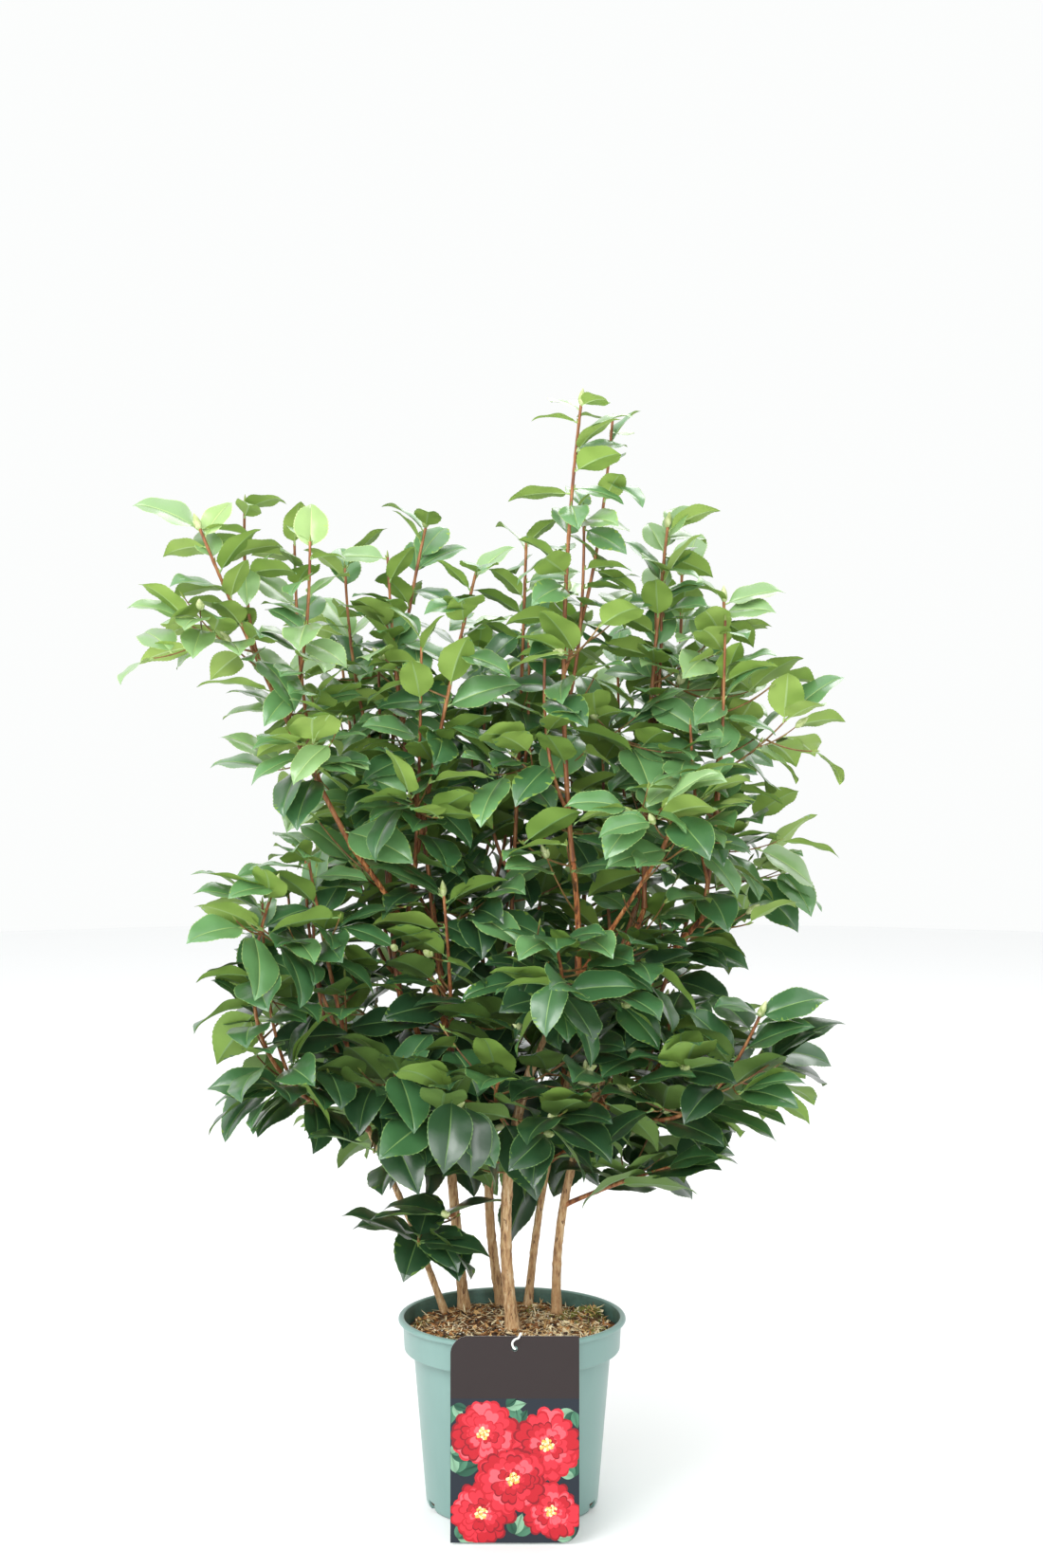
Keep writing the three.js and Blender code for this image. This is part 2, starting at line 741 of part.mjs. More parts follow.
for (const [name, parts] of Object.entries(stems)) {
  const foot = at(...parts.foot, mix.top + air);
  const path = line(foot, at(...parts.waist), at(...parts.tip));
  const eased = (t) => path(t ** flare.ease);
  limbs[name] = { ...limb(eased, parts.thick, 8, 8, true), children: [] };
  place(limbs[name].solid, name);
  plant.add(meshOf(name, limbs[name].solid, paint.bark));
}

for (const [name, parts] of Object.entries(boughs)) {
  limbs[name] = growFrom(parts, parts.thick, 6, 6);
  place(limbs[name].solid, name);
  plant.add(meshOf(name, limbs[name].solid, paint.bark));
}

for (const [name, parts] of Object.entries(shoots)) {
  limbs[name] = growFrom(parts, shoot.thick, 3, shoot.runs);
  place(limbs[name].solid, name);
}

for (const [name, parts] of Object.entries(shoots)) {
  plant.add(meshOf(name, leafyShoot(name, parts), paint.shoot));
}

export default plant;
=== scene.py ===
import math
import random

import bpy
import numpy as np
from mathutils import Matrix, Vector, noise
from mathutils.bvhtree import BVHTree
from mathutils.kdtree import KDTree


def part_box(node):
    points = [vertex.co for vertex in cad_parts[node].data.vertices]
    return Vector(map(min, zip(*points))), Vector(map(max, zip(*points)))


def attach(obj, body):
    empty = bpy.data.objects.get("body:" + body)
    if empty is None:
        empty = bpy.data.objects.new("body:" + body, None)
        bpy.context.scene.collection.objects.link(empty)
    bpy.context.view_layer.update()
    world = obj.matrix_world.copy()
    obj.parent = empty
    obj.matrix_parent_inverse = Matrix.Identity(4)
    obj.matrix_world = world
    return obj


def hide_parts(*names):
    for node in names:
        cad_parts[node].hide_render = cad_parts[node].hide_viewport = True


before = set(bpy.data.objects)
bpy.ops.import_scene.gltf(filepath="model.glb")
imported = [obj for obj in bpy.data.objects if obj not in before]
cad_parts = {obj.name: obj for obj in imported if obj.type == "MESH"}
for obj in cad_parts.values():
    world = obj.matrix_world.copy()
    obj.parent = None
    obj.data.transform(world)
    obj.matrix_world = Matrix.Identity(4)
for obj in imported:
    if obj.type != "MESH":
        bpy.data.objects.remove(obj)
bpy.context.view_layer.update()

# Camellia shrub in its nursery pot. Sizes below are millimetres, turned to metres when a mesh is made.
mm = 0.001
scene = bpy.context.scene
scene.view_settings.view_transform = "Standard"


# Camera, floor and light.
studio = {
    "cameraAt": (0.0093, -2.625, 0.879),
    "cameraDown": 3.63,        # degrees below level
    "lens": 61.85,
    "floorRadius": 5.0,
    "floorDrop": 0.4,          # millimetres below the pot, so the two never flicker
    "floorColour": (0.905, 0.91, 0.915),
    "worldColour": (0.975, 0.985, 0.98),
    "worldStrength": 1.0,
}
softBoxes = {
    "frontBox": {"at": (-0.5, -3.3, 1.7), "aim": (0, 0, 0.45), "size": (2.8, 2.0), "power": 64},
    "keyBox": {"at": (-1.6, -1.7, 2.8), "aim": (0, 0, 0.6), "size": (1.9, 1.6), "power": 62},
    "backBox": {"at": (0.8, 2.2, 2.8), "aim": (0, 0, 0.5), "size": (2.0, 1.6), "power": 26},
}


# 0-255 screen values to the linear colour that a shader takes.
def srgb(r, g, b):
    def linear(value):
        value /= 255
        return value / 12.92 if value <= 0.04045 else ((value + 0.055) / 1.055) ** 2.4
    return (linear(r), linear(g), linear(b), 1.0)


def aimed(obj, at, aim):
    obj.location = at
    obj.rotation_euler = (Vector(aim) - Vector(at)).to_track_quat("-Z", "Y").to_euler()


camera = bpy.data.objects.new("camera", bpy.data.cameras.new("camera"))
camera.location = studio["cameraAt"]
camera.rotation_euler = (math.radians(90 - studio["cameraDown"]), 0, 0)
camera.data.lens = studio["lens"]
camera.data.sensor_width = 36
scene.collection.objects.link(camera)
scene.camera = camera

world = bpy.data.worlds.new("studio")
world.use_nodes = True
world.node_tree.nodes["Background"].inputs["Color"].default_value = (*studio["worldColour"], 1)
world.node_tree.nodes["Background"].inputs["Strength"].default_value = studio["worldStrength"]
scene.world = world

for name, box in softBoxes.items():
    lamp = bpy.data.lights.new(name, "AREA")
    lamp.shape = "RECTANGLE"
    lamp.size, lamp.size_y = box["size"]
    lamp.energy = box["power"]
    lampObj = bpy.data.objects.new(name, lamp)
    lampObj.visible_camera = False
    aimed(lampObj, box["at"], box["aim"])
    scene.collection.objects.link(lampObj)


# Helpers for meshes and materials.
def linked(obj):
    scene.collection.objects.link(obj)
    return obj


# Rides on the pot's body and stands for its CAD nodes; its slot is not used.
def finished(obj, slot, *nodes):
    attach(obj, "root")
    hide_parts(*nodes)


# One object from chunks of points, faces, looks and uv. A face is 4 indexes, with -1 last on a triangle.
def joinedMesh(name, chunks, materials, sharp=60):
    points = np.vstack([c["points"] for c in chunks])
    starts = np.cumsum([0] + [len(c["points"]) for c in chunks[:-1]])
    faces = np.vstack([np.where(c["faces"] < 0, -1, c["faces"] + s) for c, s in zip(chunks, starts)])
    looks = np.concatenate([np.broadcast_to(c["looks"], len(c["faces"])) for c in chunks])
    counts = np.where(faces[:, 3] < 0, 3, 4)
    loops = faces[faces >= 0]
    mesh = bpy.data.meshes.new(name)
    mesh.vertices.add(len(points))
    mesh.vertices.foreach_set("co", (points * mm).astype(np.float32).ravel())
    mesh.loops.add(len(loops))
    mesh.loops.foreach_set("vertex_index", loops.astype(np.int32))
    mesh.polygons.add(len(faces))
    mesh.polygons.foreach_set("loop_start", (np.cumsum(counts) - counts).astype(np.int32))
    mesh.polygons.foreach_set("material_index", looks.astype(np.int32))
    if "uv" in chunks[0]:
        uv = np.vstack([c["uv"] for c in chunks])
        layer = mesh.uv_layers.new(name="leafMap")
        layer.data.foreach_set("uv", uv[loops].astype(np.float32).ravel())
    mesh.update(calc_edges=True)
    mesh.validate()
    mesh.shade_smooth()
    mesh.set_sharp_from_angle(angle=math.radians(sharp))
    for material in materials:
        mesh.materials.append(material)
    return linked(bpy.data.objects.new(name, mesh))


# A material with its plain values on the shader's own sockets.
def skin(name, colour, roughness, specular=0.5, coat=0.0, coatRoughness=0.1):
    material = bpy.data.materials.new(name)
    material.use_nodes = True
    tree = material.node_tree
    shader = tree.nodes["Principled BSDF"]
    shader.inputs["Base Color"].default_value = colour
    shader.inputs["Roughness"].default_value = roughness
    shader.inputs["Specular IOR Level"].default_value = specular
    shader.inputs["Coat Weight"].default_value = coat
    shader.inputs["Coat Roughness"].default_value = coatRoughness
    return material, tree, shader


def added(tree, kind, settings=None, inputs=None):
    node = tree.nodes.new(kind)
    for key, value in (settings or {}).items():
        setattr(node, key, value)
    for key, value in (inputs or {}).items():
        if isinstance(value, bpy.types.NodeSocket):
            tree.links.new(value, node.inputs[key])
        else:
            node.inputs[key].default_value = value
    return node


# Grain in object space, per metre.
def noiseOf(tree, scale, detail=4.0, roughness=0.55, stretch=(1, 1, 1)):
    place = added(tree, "ShaderNodeTexCoord")
    turn = added(tree, "ShaderNodeMapping", inputs={"Vector": place.outputs["Object"], "Scale": stretch})
    grain = added(tree, "ShaderNodeTexNoise", inputs={
        "Vector": turn.outputs["Vector"], "Scale": scale, "Detail": detail, "Roughness": roughness})
    return grain.outputs["Fac"]


# Colours along a factor, from stops of (place, colour).
def ramped(tree, factor, stops):
    ramp = added(tree, "ShaderNodeValToRGB", inputs={"Fac": factor})
    bar = ramp.color_ramp
    while len(bar.elements) < len(stops):
        bar.elements.new(0.5)
    for element, (place, colour) in zip(bar.elements, stops):
        element.position = place
        element.color = colour
    return ramp.outputs["Color"]


def bumped(tree, shader, height, strength, distance, under=None):
    inputs = {"Height": height, "Strength": strength, "Distance": distance}
    if under is not None:
        inputs["Normal"] = under
    bump = added(tree, "ShaderNodeBump", inputs=inputs)
    tree.links.new(bump.outputs["Normal"], shader.inputs["Normal"])
    return bump.outputs["Normal"]


# A factor from 0 to 1, turned to low..high.
def spread(tree, factor, low, high):
    node = added(tree, "ShaderNodeMapRange", inputs={"Value": factor, "To Min": low, "To Max": high})
    return node.outputs["Result"]


def mixed(tree, factor, first, second):
    inputs = {0: factor, 6: first, 7: second}
    return added(tree, "ShaderNodeMix", {"data_type": "RGBA"}, inputs).outputs[2]


# A skin with fine grain in its surface and, with stops, a colour that changes by a noise.
def grained(name, colour, roughness, grain, strength, distance, tint=None, stops=None, specular=0.5):
    material, tree, shader = skin(name, colour, roughness, specular)
    if stops:
        tree.links.new(ramped(tree, noiseOf(tree, *tint), stops), shader.inputs["Base Color"])
    bumped(tree, shader, noiseOf(tree, *grain), strength, distance)
    return material


def blend(a, b, share):
    return a + (b - a) * share


def among(pair, share):
    return blend(pair[0], pair[1], share)


def unit(v):
    return v / np.linalg.norm(v)


# Faces round rings of points, closed at both ends by the two points that follow them.
def ringFaces(rings, sides):
    around = np.arange(sides)
    onward, none = (around + 1) % sides, np.full(sides, -1)
    last, foot = (rings - 1) * sides, rings * sides
    faces = [np.stack([i + around, i + onward, i + sides + onward, i + sides + around], 1)
             for i in range(0, last, sides)]
    faces += [np.stack([np.full(sides, foot), onward, around, none], 1),
              np.stack([np.full(sides, foot + 1), last + around, last + onward, none], 1)]
    return np.vstack(faces)


# A tube along points. relief(ring, angle) moves a point outward, in millimetres.
def tubeChunk(points, radii, sides, look=0, relief=None):
    points = np.asarray(points, float)
    tangents = np.gradient(points, axis=0)
    tangents /= np.linalg.norm(tangents, axis=1)[:, None]
    side = np.array([1.0, 0, 0])
    if abs(tangents[0] @ side) > 0.9:
        side = np.array([0, 1.0, 0])
    angles = 2 * np.pi * np.arange(sides) / sides
    rings = []
    for i, (point, tangent) in enumerate(zip(points, tangents)):
        side = unit(side - tangent * (side @ tangent))
        other = np.cross(tangent, side)
        reach = np.full(sides, float(radii[i]))
        if relief is not None:
            reach = reach + np.array([relief(i, a) for a in angles])
        rings.append(point + np.outer(np.cos(angles) * reach, side)
                     + np.outer(np.sin(angles) * reach, other))
    ends = np.array([points[0], points[-1] + tangents[-1] * radii[-1] * 0.35])
    return {"points": np.vstack(rings + [ends]), "faces": ringFaces(len(points), sides), "looks": look}


# A profile of (radius, height) turned about Z. Points on the axis are single.
def latheChunk(profile, segments, look=0):
    profile = np.asarray(profile, float)
    angles = 2 * np.pi * np.arange(segments) / segments
    rows, points = [], []
    for r, z in profile:
        if r < 1e-6:
            rows.append(np.full(segments, len(points)))
            points.append((0, 0, z))
        else:
            rows.append(len(points) + np.arange(segments))
            points.extend(np.stack([r * np.cos(angles), r * np.sin(angles), np.full(segments, z)], 1))
    faces = []
    for low, high in zip(rows, rows[1:]):
        a, b, c, d = low, np.roll(low, -1), np.roll(high, -1), high
        none = np.full(segments, -1)
        if low[0] == low[1] == low[-1]:
            faces.append(np.stack([a, c, d, none], 1))
        elif high[0] == high[1] == high[-1]:
            faces.append(np.stack([a, b, c, none], 1))
        else:
            faces.append(np.stack([a, b, c, d], 1))
    return {"points": np.array(points, float), "faces": np.vstack(faces), "looks": look}


# Softens a profile of (radius, height, rounding). A rounding of 0 keeps a corner sharp.
def rounded(corners, steps=4):
    out = []
    for i, (r, z, soft) in enumerate(corners):
        here = np.array([r, z], float)
        if soft == 0 or i in (0, len(corners) - 1):
            out.append(here)
            continue
        before = np.array(corners[i - 1][:2], float)
        after = np.array(corners[i + 1][:2], float)
        start = here + unit(before - here) * min(soft, np.linalg.norm(before - here) / 2)
        end = here + unit(after - here) * min(soft, np.linalg.norm(after - here) / 2)
        for k in range(steps + 1):
            t = k / steps
            out.append((1 - t) ** 2 * start + 2 * t * (1 - t) * here + t * t * end)
    return out


# Floor.
floorSkin = grained("paleFloor", (*studio["floorColour"], 1), 0.55, (120, 3), 0.04, 0.0005)
floorChunk = latheChunk([(0, -studio["floorDrop"]), (studio["floorRadius"] / mm, -studio["floorDrop"])], 64)
joinedMesh("paleFloor", [floorChunk], [floorSkin])
print("camera, light and floor")


# Pot.
potShape = {
    "height": 187, "lipRadius": 112.5, "lipHeight": 5, "collarRadius": 108, "collarHeight": 28,
    "shoulderRadius": 97.5, "footRadius": 85, "wall": 2.2, "floor": 4, "segments": 128,
    "notches": 8, "notchWide": 15, "notchHigh": 9, "notchDeep": 5,
    # colour and darker: the teal plastic lightened with painted sheen, standing in for the soft reflection of
    # the studio front
    "colour": srgb(125, 157, 151), "darker": srgb(113, 146, 140), "roughness": (0.28, 0.38),
    # The two inside colours are painted shade: darker copies of the same plastic for the pot's inner wall and
    # floor.
    "inside": srgb(84, 118, 108), "insideShadeDeep": srgb(58, 84, 72),
}


# The object's modifiers, made part of its mesh.
def applied(obj):
    graph = bpy.context.evaluated_depsgraph_get()
    made = bpy.data.meshes.new_from_object(obj.evaluated_get(graph))
    old = obj.data
    obj.modifiers.clear()
    obj.data = made
    bpy.data.meshes.remove(old)
    made.name = obj.name


def potProfile(shape):
    height, foot, shoulder = shape["height"], shape["footRadius"], shape["shoulderRadius"]
    collar, lip, wall = shape["collarRadius"], shape["lipRadius"], shape["wall"]
    inner = collar - wall
    underLip = height - shape["lipHeight"]
    ledge = underLip - shape["collarHeight"]
    corners = [    # radius, height, rounding
        (0, 0, 0), (foot - 2.5, 0, 0), (foot, 2.5, 2.5), (shoulder - 0.6, ledge - 6, 1.5),
        (shoulder + 0.4, ledge - 0.5, 1), (collar - 1.6, ledge + 0.4, 1.6), (collar - 0.2, underLip - 1.5, 1),
        (collar + 0.6, underLip + 0.2, 1), (lip - 0.4, underLip + 0.3, 1.2), (lip, height - 2.4, 1.6),
        (lip - 1.6, height, 1.6), (inner + 1.2, height, 1.2), (inner, height - 4, 1.5),
        (inner - 1.2, ledge + wall, 1), (shoulder - wall, ledge - wall, 1),
        (foot - wall, shape["floor"], 1.5), (0, shape["floor"], 0),
    ]
    return rounded(corners)


def makePot(shape):
    profile = potProfile(shape)
    chunk = latheChunk(profile, shape["segments"])
    # Faces from the lip's top inward take the second material, the painted shade of the inside.
    rim = max(i for i, (r, z) in enumerate(profile) if z > shape["height"] - 1.5)
    chunk["looks"] = np.repeat([int(i >= rim) for i in range(len(profile) - 1)], shape["segments"])
    paintedShadeInside = grained("potInsidePaintedShade", shape["inside"], 0.5, (500, 4), 0.2, 0.0003, (40, 5, 0.65),
                      [(0.35, shape["insideShadeDeep"]), (0.65, shape["inside"])])
    # The outer plastic: its own teal with grain and scuffs, lightened as painted sheen.
    plastic, tree, shader = skin("greenPlastic", shape["colour"], 0.4)
    grain = noiseOf(tree, 14, 5, stretch=(1, 1, 0.35))
    tint = ramped(tree, grain, [(0.3, shape["darker"]), (0.7, shape["colour"])])
    tree.links.new(tint, shader.inputs["Base Color"])
    scuff = noiseOf(tree, 60, 6, 0.7, stretch=(1, 1, 0.3))
    tree.links.new(spread(tree, scuff, *shape["roughness"]), shader.inputs["Roughness"])
    skinGrain = bumped(tree, shader, noiseOf(tree, 900, 3), 0.12, 0.0002)
    bumped(tree, shader, noiseOf(tree, 24, 3, stretch=(1, 1, 0.2)), 0.08, 0.002, skinGrain)
    pot = joinedMesh("pot_green_plastic", [chunk], [plastic, paintedShadeInside], sharp=35)

    cutters = []
    radius = shape["footRadius"] * mm
    for i in range(shape["notches"]):
        angle = 2 * math.pi * (i + 0.5) / shape["notches"]
        bpy.ops.mesh.primitive_cube_add(size=1)
        cutter = bpy.context.active_object
        cutter.scale = (shape["notchDeep"] * 2 * mm, shape["notchWide"] * mm, shape["notchHigh"] * 2 * mm)
        cutter.location = (radius * math.cos(angle), radius * math.sin(angle), 0)
        cutter.rotation_euler = (0, 0, angle)
        cut = pot.modifiers.new("notch", "BOOLEAN")
        cut.operation = "DIFFERENCE"
        cut.solver = "EXACT"
        cut.object = cutter
        cutters.append(cutter)
    applied(pot)
    for cutter in cutters:
        bpy.data.objects.remove(cutter)
    finished(pot, "pot_plastic", "pot")


makePot(potShape)
print("pot")


# Potting mix.
mixShape = {
    "top": 172, "radius": 104.0, "footRadius": 82.5, "floor": 4.3, "shoulderRadius": 95.0, "shoulder": 152,
    "rings": 46, "spokes": 120, "rough": 2.4, "seed": 5,
    "humps": [((76, 42), 17, 9), ((-26, 30), 24, 5), ((30, -52), 30, 5), ((-68, -30), 26, 6)],
    "chipColours": [srgb(112, 74, 42), srgb(158, 106, 58), srgb(204, 162, 106), srgb(244, 226, 186),
                    srgb(54, 36, 24)],
    "mossColours": [srgb(104, 112, 48), srgb(140, 140, 66)], "speckColour": srgb(232, 230, 220),
    "baseDark": srgb(50, 34, 22), "baseLight": srgb(120, 84, 54),
    "paleFrom": 15,    # to the right of this x the chips take the pale shares of the colours
    "chips": {"count": 1700, "reach": 101, "lift": (0, 0.8), "long": (4, 13), "wide": (1.8, 5),
              "thick": (0.7, 1.8), "tilt": 0.42, "roll": 0.55,
              "pale": (4, 5, 4, 4, 3), "dark": (5, 5, 4, 2, 5)},
    "fibres": {"count": 1500, "reach": 98, "lift": (1.2, 1), "long": (8, 21), "wide": (0.7, 1.6),
               "thick": (0.5, 0.9), "tilt": 0.3, "roll": 0, "pale": (1, 3, 5, 9, 1), "dark": (2, 4, 4, 5, 1)},
    "specks": {"count": 150, "reach": 96, "lift": 1.4, "size": (1.2, 2.6)},
    "moss": {"count": 1100, "reach": 101, "lift": 1.5, "long": (3, 6.5), "wide": (0.7, 1.5), "thick": 0.6,
             "tilt": (0.2, 1.4), "roll": 0.6, "paler": 0.4},
    # moss patches: middle, size, share of the moss
    "patches": [((76, 42), 20, 6), ((52, 48), 12, 3), ((-88, 20), 11, 1), ((88, -12), 12, 2),
                ((20, 70), 12, 1), ((-62, -62), 16, 2.5)],
}


# Top of the mix at a point, in millimetres.
def mixHeight(x, y):
    z = mixShape["top"]
    for (hx, hy), radius, rise in mixShape["humps"]:
        away = math.hypot(x - hx, y - hy) / radius
        if away < 1:
            z = max(z, mixShape["top"] + rise * math.sqrt(1 - away * away))
    fine = 0.6 * noise.noise(Vector((x / 3, y / 3, 4)))
    return z + mixShape["rough"] * noise.noise(Vector((x / 9, y / 9, 0))) + fine


# A thin chip, pointed at both ends.
def flake(at, long, wide, thick, heading, tilt, roll, look):
    outline = [(-0.5, 0, 0), (-0.2, 0.5, 0), (0.3, 0.42, 0), (0.5, 0, 0), (0.25, -0.45, 0), (-0.3, -0.5, 0)]
    shape = np.array(outline + [(0, 0, 0.5), (0, 0, -0.5)]) * (long, wide, thick)
    ch, sh, ct, st, cr, sr = (f(a) for a in (heading, tilt, roll) for f in (math.cos, math.sin))
    turn = np.array([[ch, -sh, 0], [sh, ch, 0], [0, 0, 1]]) @ np.array([[ct, 0, -st], [0, 1, 0], [st, 0, ct]])
    turn = turn @ np.array([[1, 0, 0], [0, cr, -sr], [0, sr, cr]])
    rim = np.arange(6)
    none = np.full(6, -1)
    faces = np.vstack([np.stack([rim, (rim + 1) % 6, np.full(6, 6), none], 1)[:, [1, 0, 2, 3]],
                       np.stack([rim, (rim + 1) % 6, np.full(6, 7), none], 1)])
    return {"points": shape @ turn.T + at, "faces": faces, "looks": look}


def makeMix(shape):
    rows = [(0, shape["floor"]), (shape["footRadius"], shape["floor"])]
    rows.append((shape["shoulderRadius"], shape["shoulder"]))
    rows += [(shape["radius"] * i / shape["rings"], shape["top"]) for i in range(shape["rings"], -1, -1)]
    body = latheChunk(rows, shape["spokes"])
    for point in body["points"]:
        if point[2] == shape["top"]:
            point[2] = mixHeight(point[0], point[1])
    soil = grained("barkMix", shape["baseDark"], 0.95, (700, 5, 0.7), 0.8, 0.0015, (260, 6, 0.7),
                   [(0.35, shape["baseDark"]), (0.7, shape["baseLight"])])
    finished(joinedMesh("potting_mix_bed", [body], [soil]), "potting_mix", "potting_mix")

    colours = [*shape["chipColours"], *shape["mossColours"], shape["speckColour"]]
    looks = [grained(f"mixBit{i}", colour, 0.85, (1500, 3), 0.5, 0.0004) for i, colour in enumerate(colours)]
    mossy, white = len(shape["chipColours"]), len(looks) - 1
    rng = random.Random(shape["seed"])
    chunks = []

    def scattered(reach):
        r, a = reach * math.sqrt(rng.random()), 2 * math.pi * rng.random()
        return r * math.cos(a), r * math.sin(a)

    for bits in (shape["chips"], shape["fibres"]):
        for _ in range(bits["count"]):
            x, y = scattered(bits["reach"])
            look = rng.choices(range(mossy), bits["pale" if x > shape["paleFrom"] else "dark"])[0]
            low, more = bits["lift"]
            at = (x, y, mixHeight(x, y) + low + more * rng.random())
            size = [rng.uniform(*bits[side]) for side in ("long", "wide", "thick")]
            heading, tilt = rng.uniform(0, 6.28), rng.gauss(0, bits["tilt"])
            roll = rng.gauss(0, bits["roll"]) if bits["roll"] else 0
            chunks.append(flake(at, *size, heading, tilt, roll, look))
    specks = shape["specks"]
    for _ in range(specks["count"]):
        x, y = scattered(specks["reach"])
        x = abs(x) if rng.random() < 0.5 else x
        size = [rng.uniform(*specks["size"]) for _ in range(3)]
        at = (x, y, mixHeight(x, y) + specks["lift"])
        chunks.append(flake(at, *size, rng.uniform(0, 6.28), 0, 0, white))
    moss, shares = shape["moss"], [share for *_, share in shape["patches"]]
    for _ in range(moss["count"]):
        (px, py), wide, _ = rng.choices(shape["patches"], shares)[0]
        x, y = px + rng.gauss(0, wide / 2), py + rng.gauss(0, wide / 2)
        if math.hypot(x, y) > moss["reach"]:
            continue
        at = (x, y, mixHeight(x, y) + moss["lift"] * rng.random())
        size = (rng.uniform(*moss["long"]), rng.uniform(*moss["wide"]), moss["thick"])
        turn = (rng.uniform(0, 6.28), rng.uniform(*moss["tilt"]), rng.gauss(0, moss["roll"]))
        chunks.append(flake(at, *size, *turn, mossy + (rng.random() < moss["paler"])))
    finished(joinedMesh("potting_mix_chips", chunks, looks), "potting_mix", "potting_mix")


makeMix(mixShape)
print("potting mix")


# Picture card and its hook.
cardShape = {
    "wide": 122, "tall": 195, "thick": 0.8, "corner": 17, "lean": 4.5, "clear": 1.5, "off": 3,
    "touch": -112.8, "holeRadius": 2.7, "holeBelow": 12, "headerFrom": 136,
    "header": srgb(40, 31, 31), "ground": srgb(26, 34, 44), "paper": srgb(214, 214, 210),
    "leaves": [srgb(40, 84, 66), srgb(72, 122, 96), srgb(128, 170, 140)],
    "petals": [srgb(132, 14, 28), srgb(178, 24, 38), srgb(206, 44, 58), srgb(226, 88, 98)],
    "stamens": [srgb(226, 176, 84), srgb(246, 226, 170)],
    # blooms: middle x, middle y, radius, petals, turn in degrees
    "blooms": [(-30, 103, 33, 7, 10), (30, 92, 35, 8, 40), (34, 30, 30, 7, 15), (-32, 28, 32, 7, 50),
               (-2, 60, 34, 8, 75)],
    "sprigs": [(-56, 66, 26, 60), (-8, 128, 22, 10), (56, 124, 22, 240), (56, 62, 22, 120), (0, 8, 24, 70),
               (-54, 4, 22, 40), (54, 4, 20, 140), (-58, 130, 20, 300), (4, 112, 18, 60), (-60, 84, 18, 20)],
    "sprigLeaves": 3, "bloomHeart": 22, "inkStep": 0.0009, "seed": 8,
}
hookShape = {"radius": 1.0, "inside": 9, "right": 5.5, "left": 2.5, "off": 0.8, "colour": srgb(242, 242, 238)}


# The card's outline between two heights, with two round corners, and the hole's own ring.
def cardOutline(shape, low, high, holeAt=None):
    wide, tall, corner, hole = shape["wide"] / 2, shape["tall"], shape["corner"], shape["holeRadius"]
    quarter = [(corner * math.sin(a), corner * math.cos(a)) for a in np.linspace(0, math.pi / 2, 12)]
    rim = [(-wide, low)]
    rim += [(wide - corner + x, corner - y) for x, y in quarter] if low == 0 else [(wide, low)]
    rim.append((wide, high))
    rim += [(-wide + corner - x, tall - corner + y) for x, y in quarter] if high == tall else [(-wide, high)]
    if holeAt is None:
        return [rim]
    ring = np.linspace(0, 2 * math.pi, 24, endpoint=False)
    return [rim, [(hole * math.cos(a), holeAt - hole * math.sin(a)) for a in ring]]


# A flat sheet inside the first loop and outside the others, lifted and thickened.
def filled(name, loops, lift, thick=0.0):
    curve = bpy.data.curves.new(name, "CURVE")
    curve.dimensions = "2D"
    curve.fill_mode = "BOTH"
    curve.extrude = thick / 2
    for loop in loops:
        spline = curve.splines.new("POLY")
        spline.points.add(len(loop) - 1)
        for point, (x, y) in zip(spline.points, loop):
            point.co = (x, y, 0, 1)
        spline.use_cyclic_u = True
    obj = linked(bpy.data.objects.new(name, curve))
    mesh = bpy.data.meshes.new_from_object(obj.evaluated_get(bpy.context.evaluated_depsgraph_get()))
    points = np.array([v.co[:] for v in mesh.vertices]) + (0, 0, lift + thick / 2)
    faces = []
    for polygon in mesh.polygons:
        corners = list(polygon.vertices)
        for k in range(1, len(corners) - 1):
            faces.append((corners[0], corners[k], corners[k + 1], -1))
    bpy.data.objects.remove(obj)
    bpy.data.meshes.remove(mesh)
    return points, np.array(faces)


# A round petal on the card's plane: a fan from its foot.
def petalShape(cx, cy, radius, heading, width, notch, lift, look):
    rim = []
    for k in range(13):
        t = k / 12
        a = (t - 0.5) * 2
        reach = radius * (1 - 0.10 * abs(a) ** 3 - notch * math.exp(-(a / 0.16) ** 2))
        angle = heading + a * width
        reach *= math.sqrt(max(1 - abs(a) ** 6, 0.02))
        rim.append((cx + reach * math.cos(angle), cy + reach * math.sin(angle), lift))
    points = np.array([(cx, cy, lift)] + rim)
    faces = np.array([(0, k, k + 1, -1) for k in range(1, len(rim))])
    return {"points": points, "faces": faces, "looks": look}


# A pointed leaf on the card's plane.
def leafFlat(x, y, long, heading, lift, look):
    c, s = math.cos(heading), math.sin(heading)
    rim = []
    for side in (1, -1):
        for k in range(9):
            t = k / 8 if side > 0 else 1 - k / 8
            w = side * 0.26 * long * math.sin(math.pi * t ** 0.8)
            rim.append((x + c * t * long - s * w, y + s * t * long + c * w, lift))
    faces = np.array([(0, k, k + 1, -1) for k in range(1, len(rim) - 1)])
    return {"points": np.array(rim), "faces": faces, "looks": look}


# From the card's own plane to its place on the pot.
def onCard(shape, points):
    lean = math.radians(shape["lean"])
    reach = (potShape["height"] - shape["clear"]) * math.tan(lean)
    x, y, out = points[:, 0], points[:, 1], points[:, 2]
    base = shape["touch"] - reach
    return np.stack([x + shape["off"], base + y * math.sin(lean) - out * math.cos(lean),
                     shape["clear"] + y * math.cos(lean) + out * math.sin(lean)], 1)


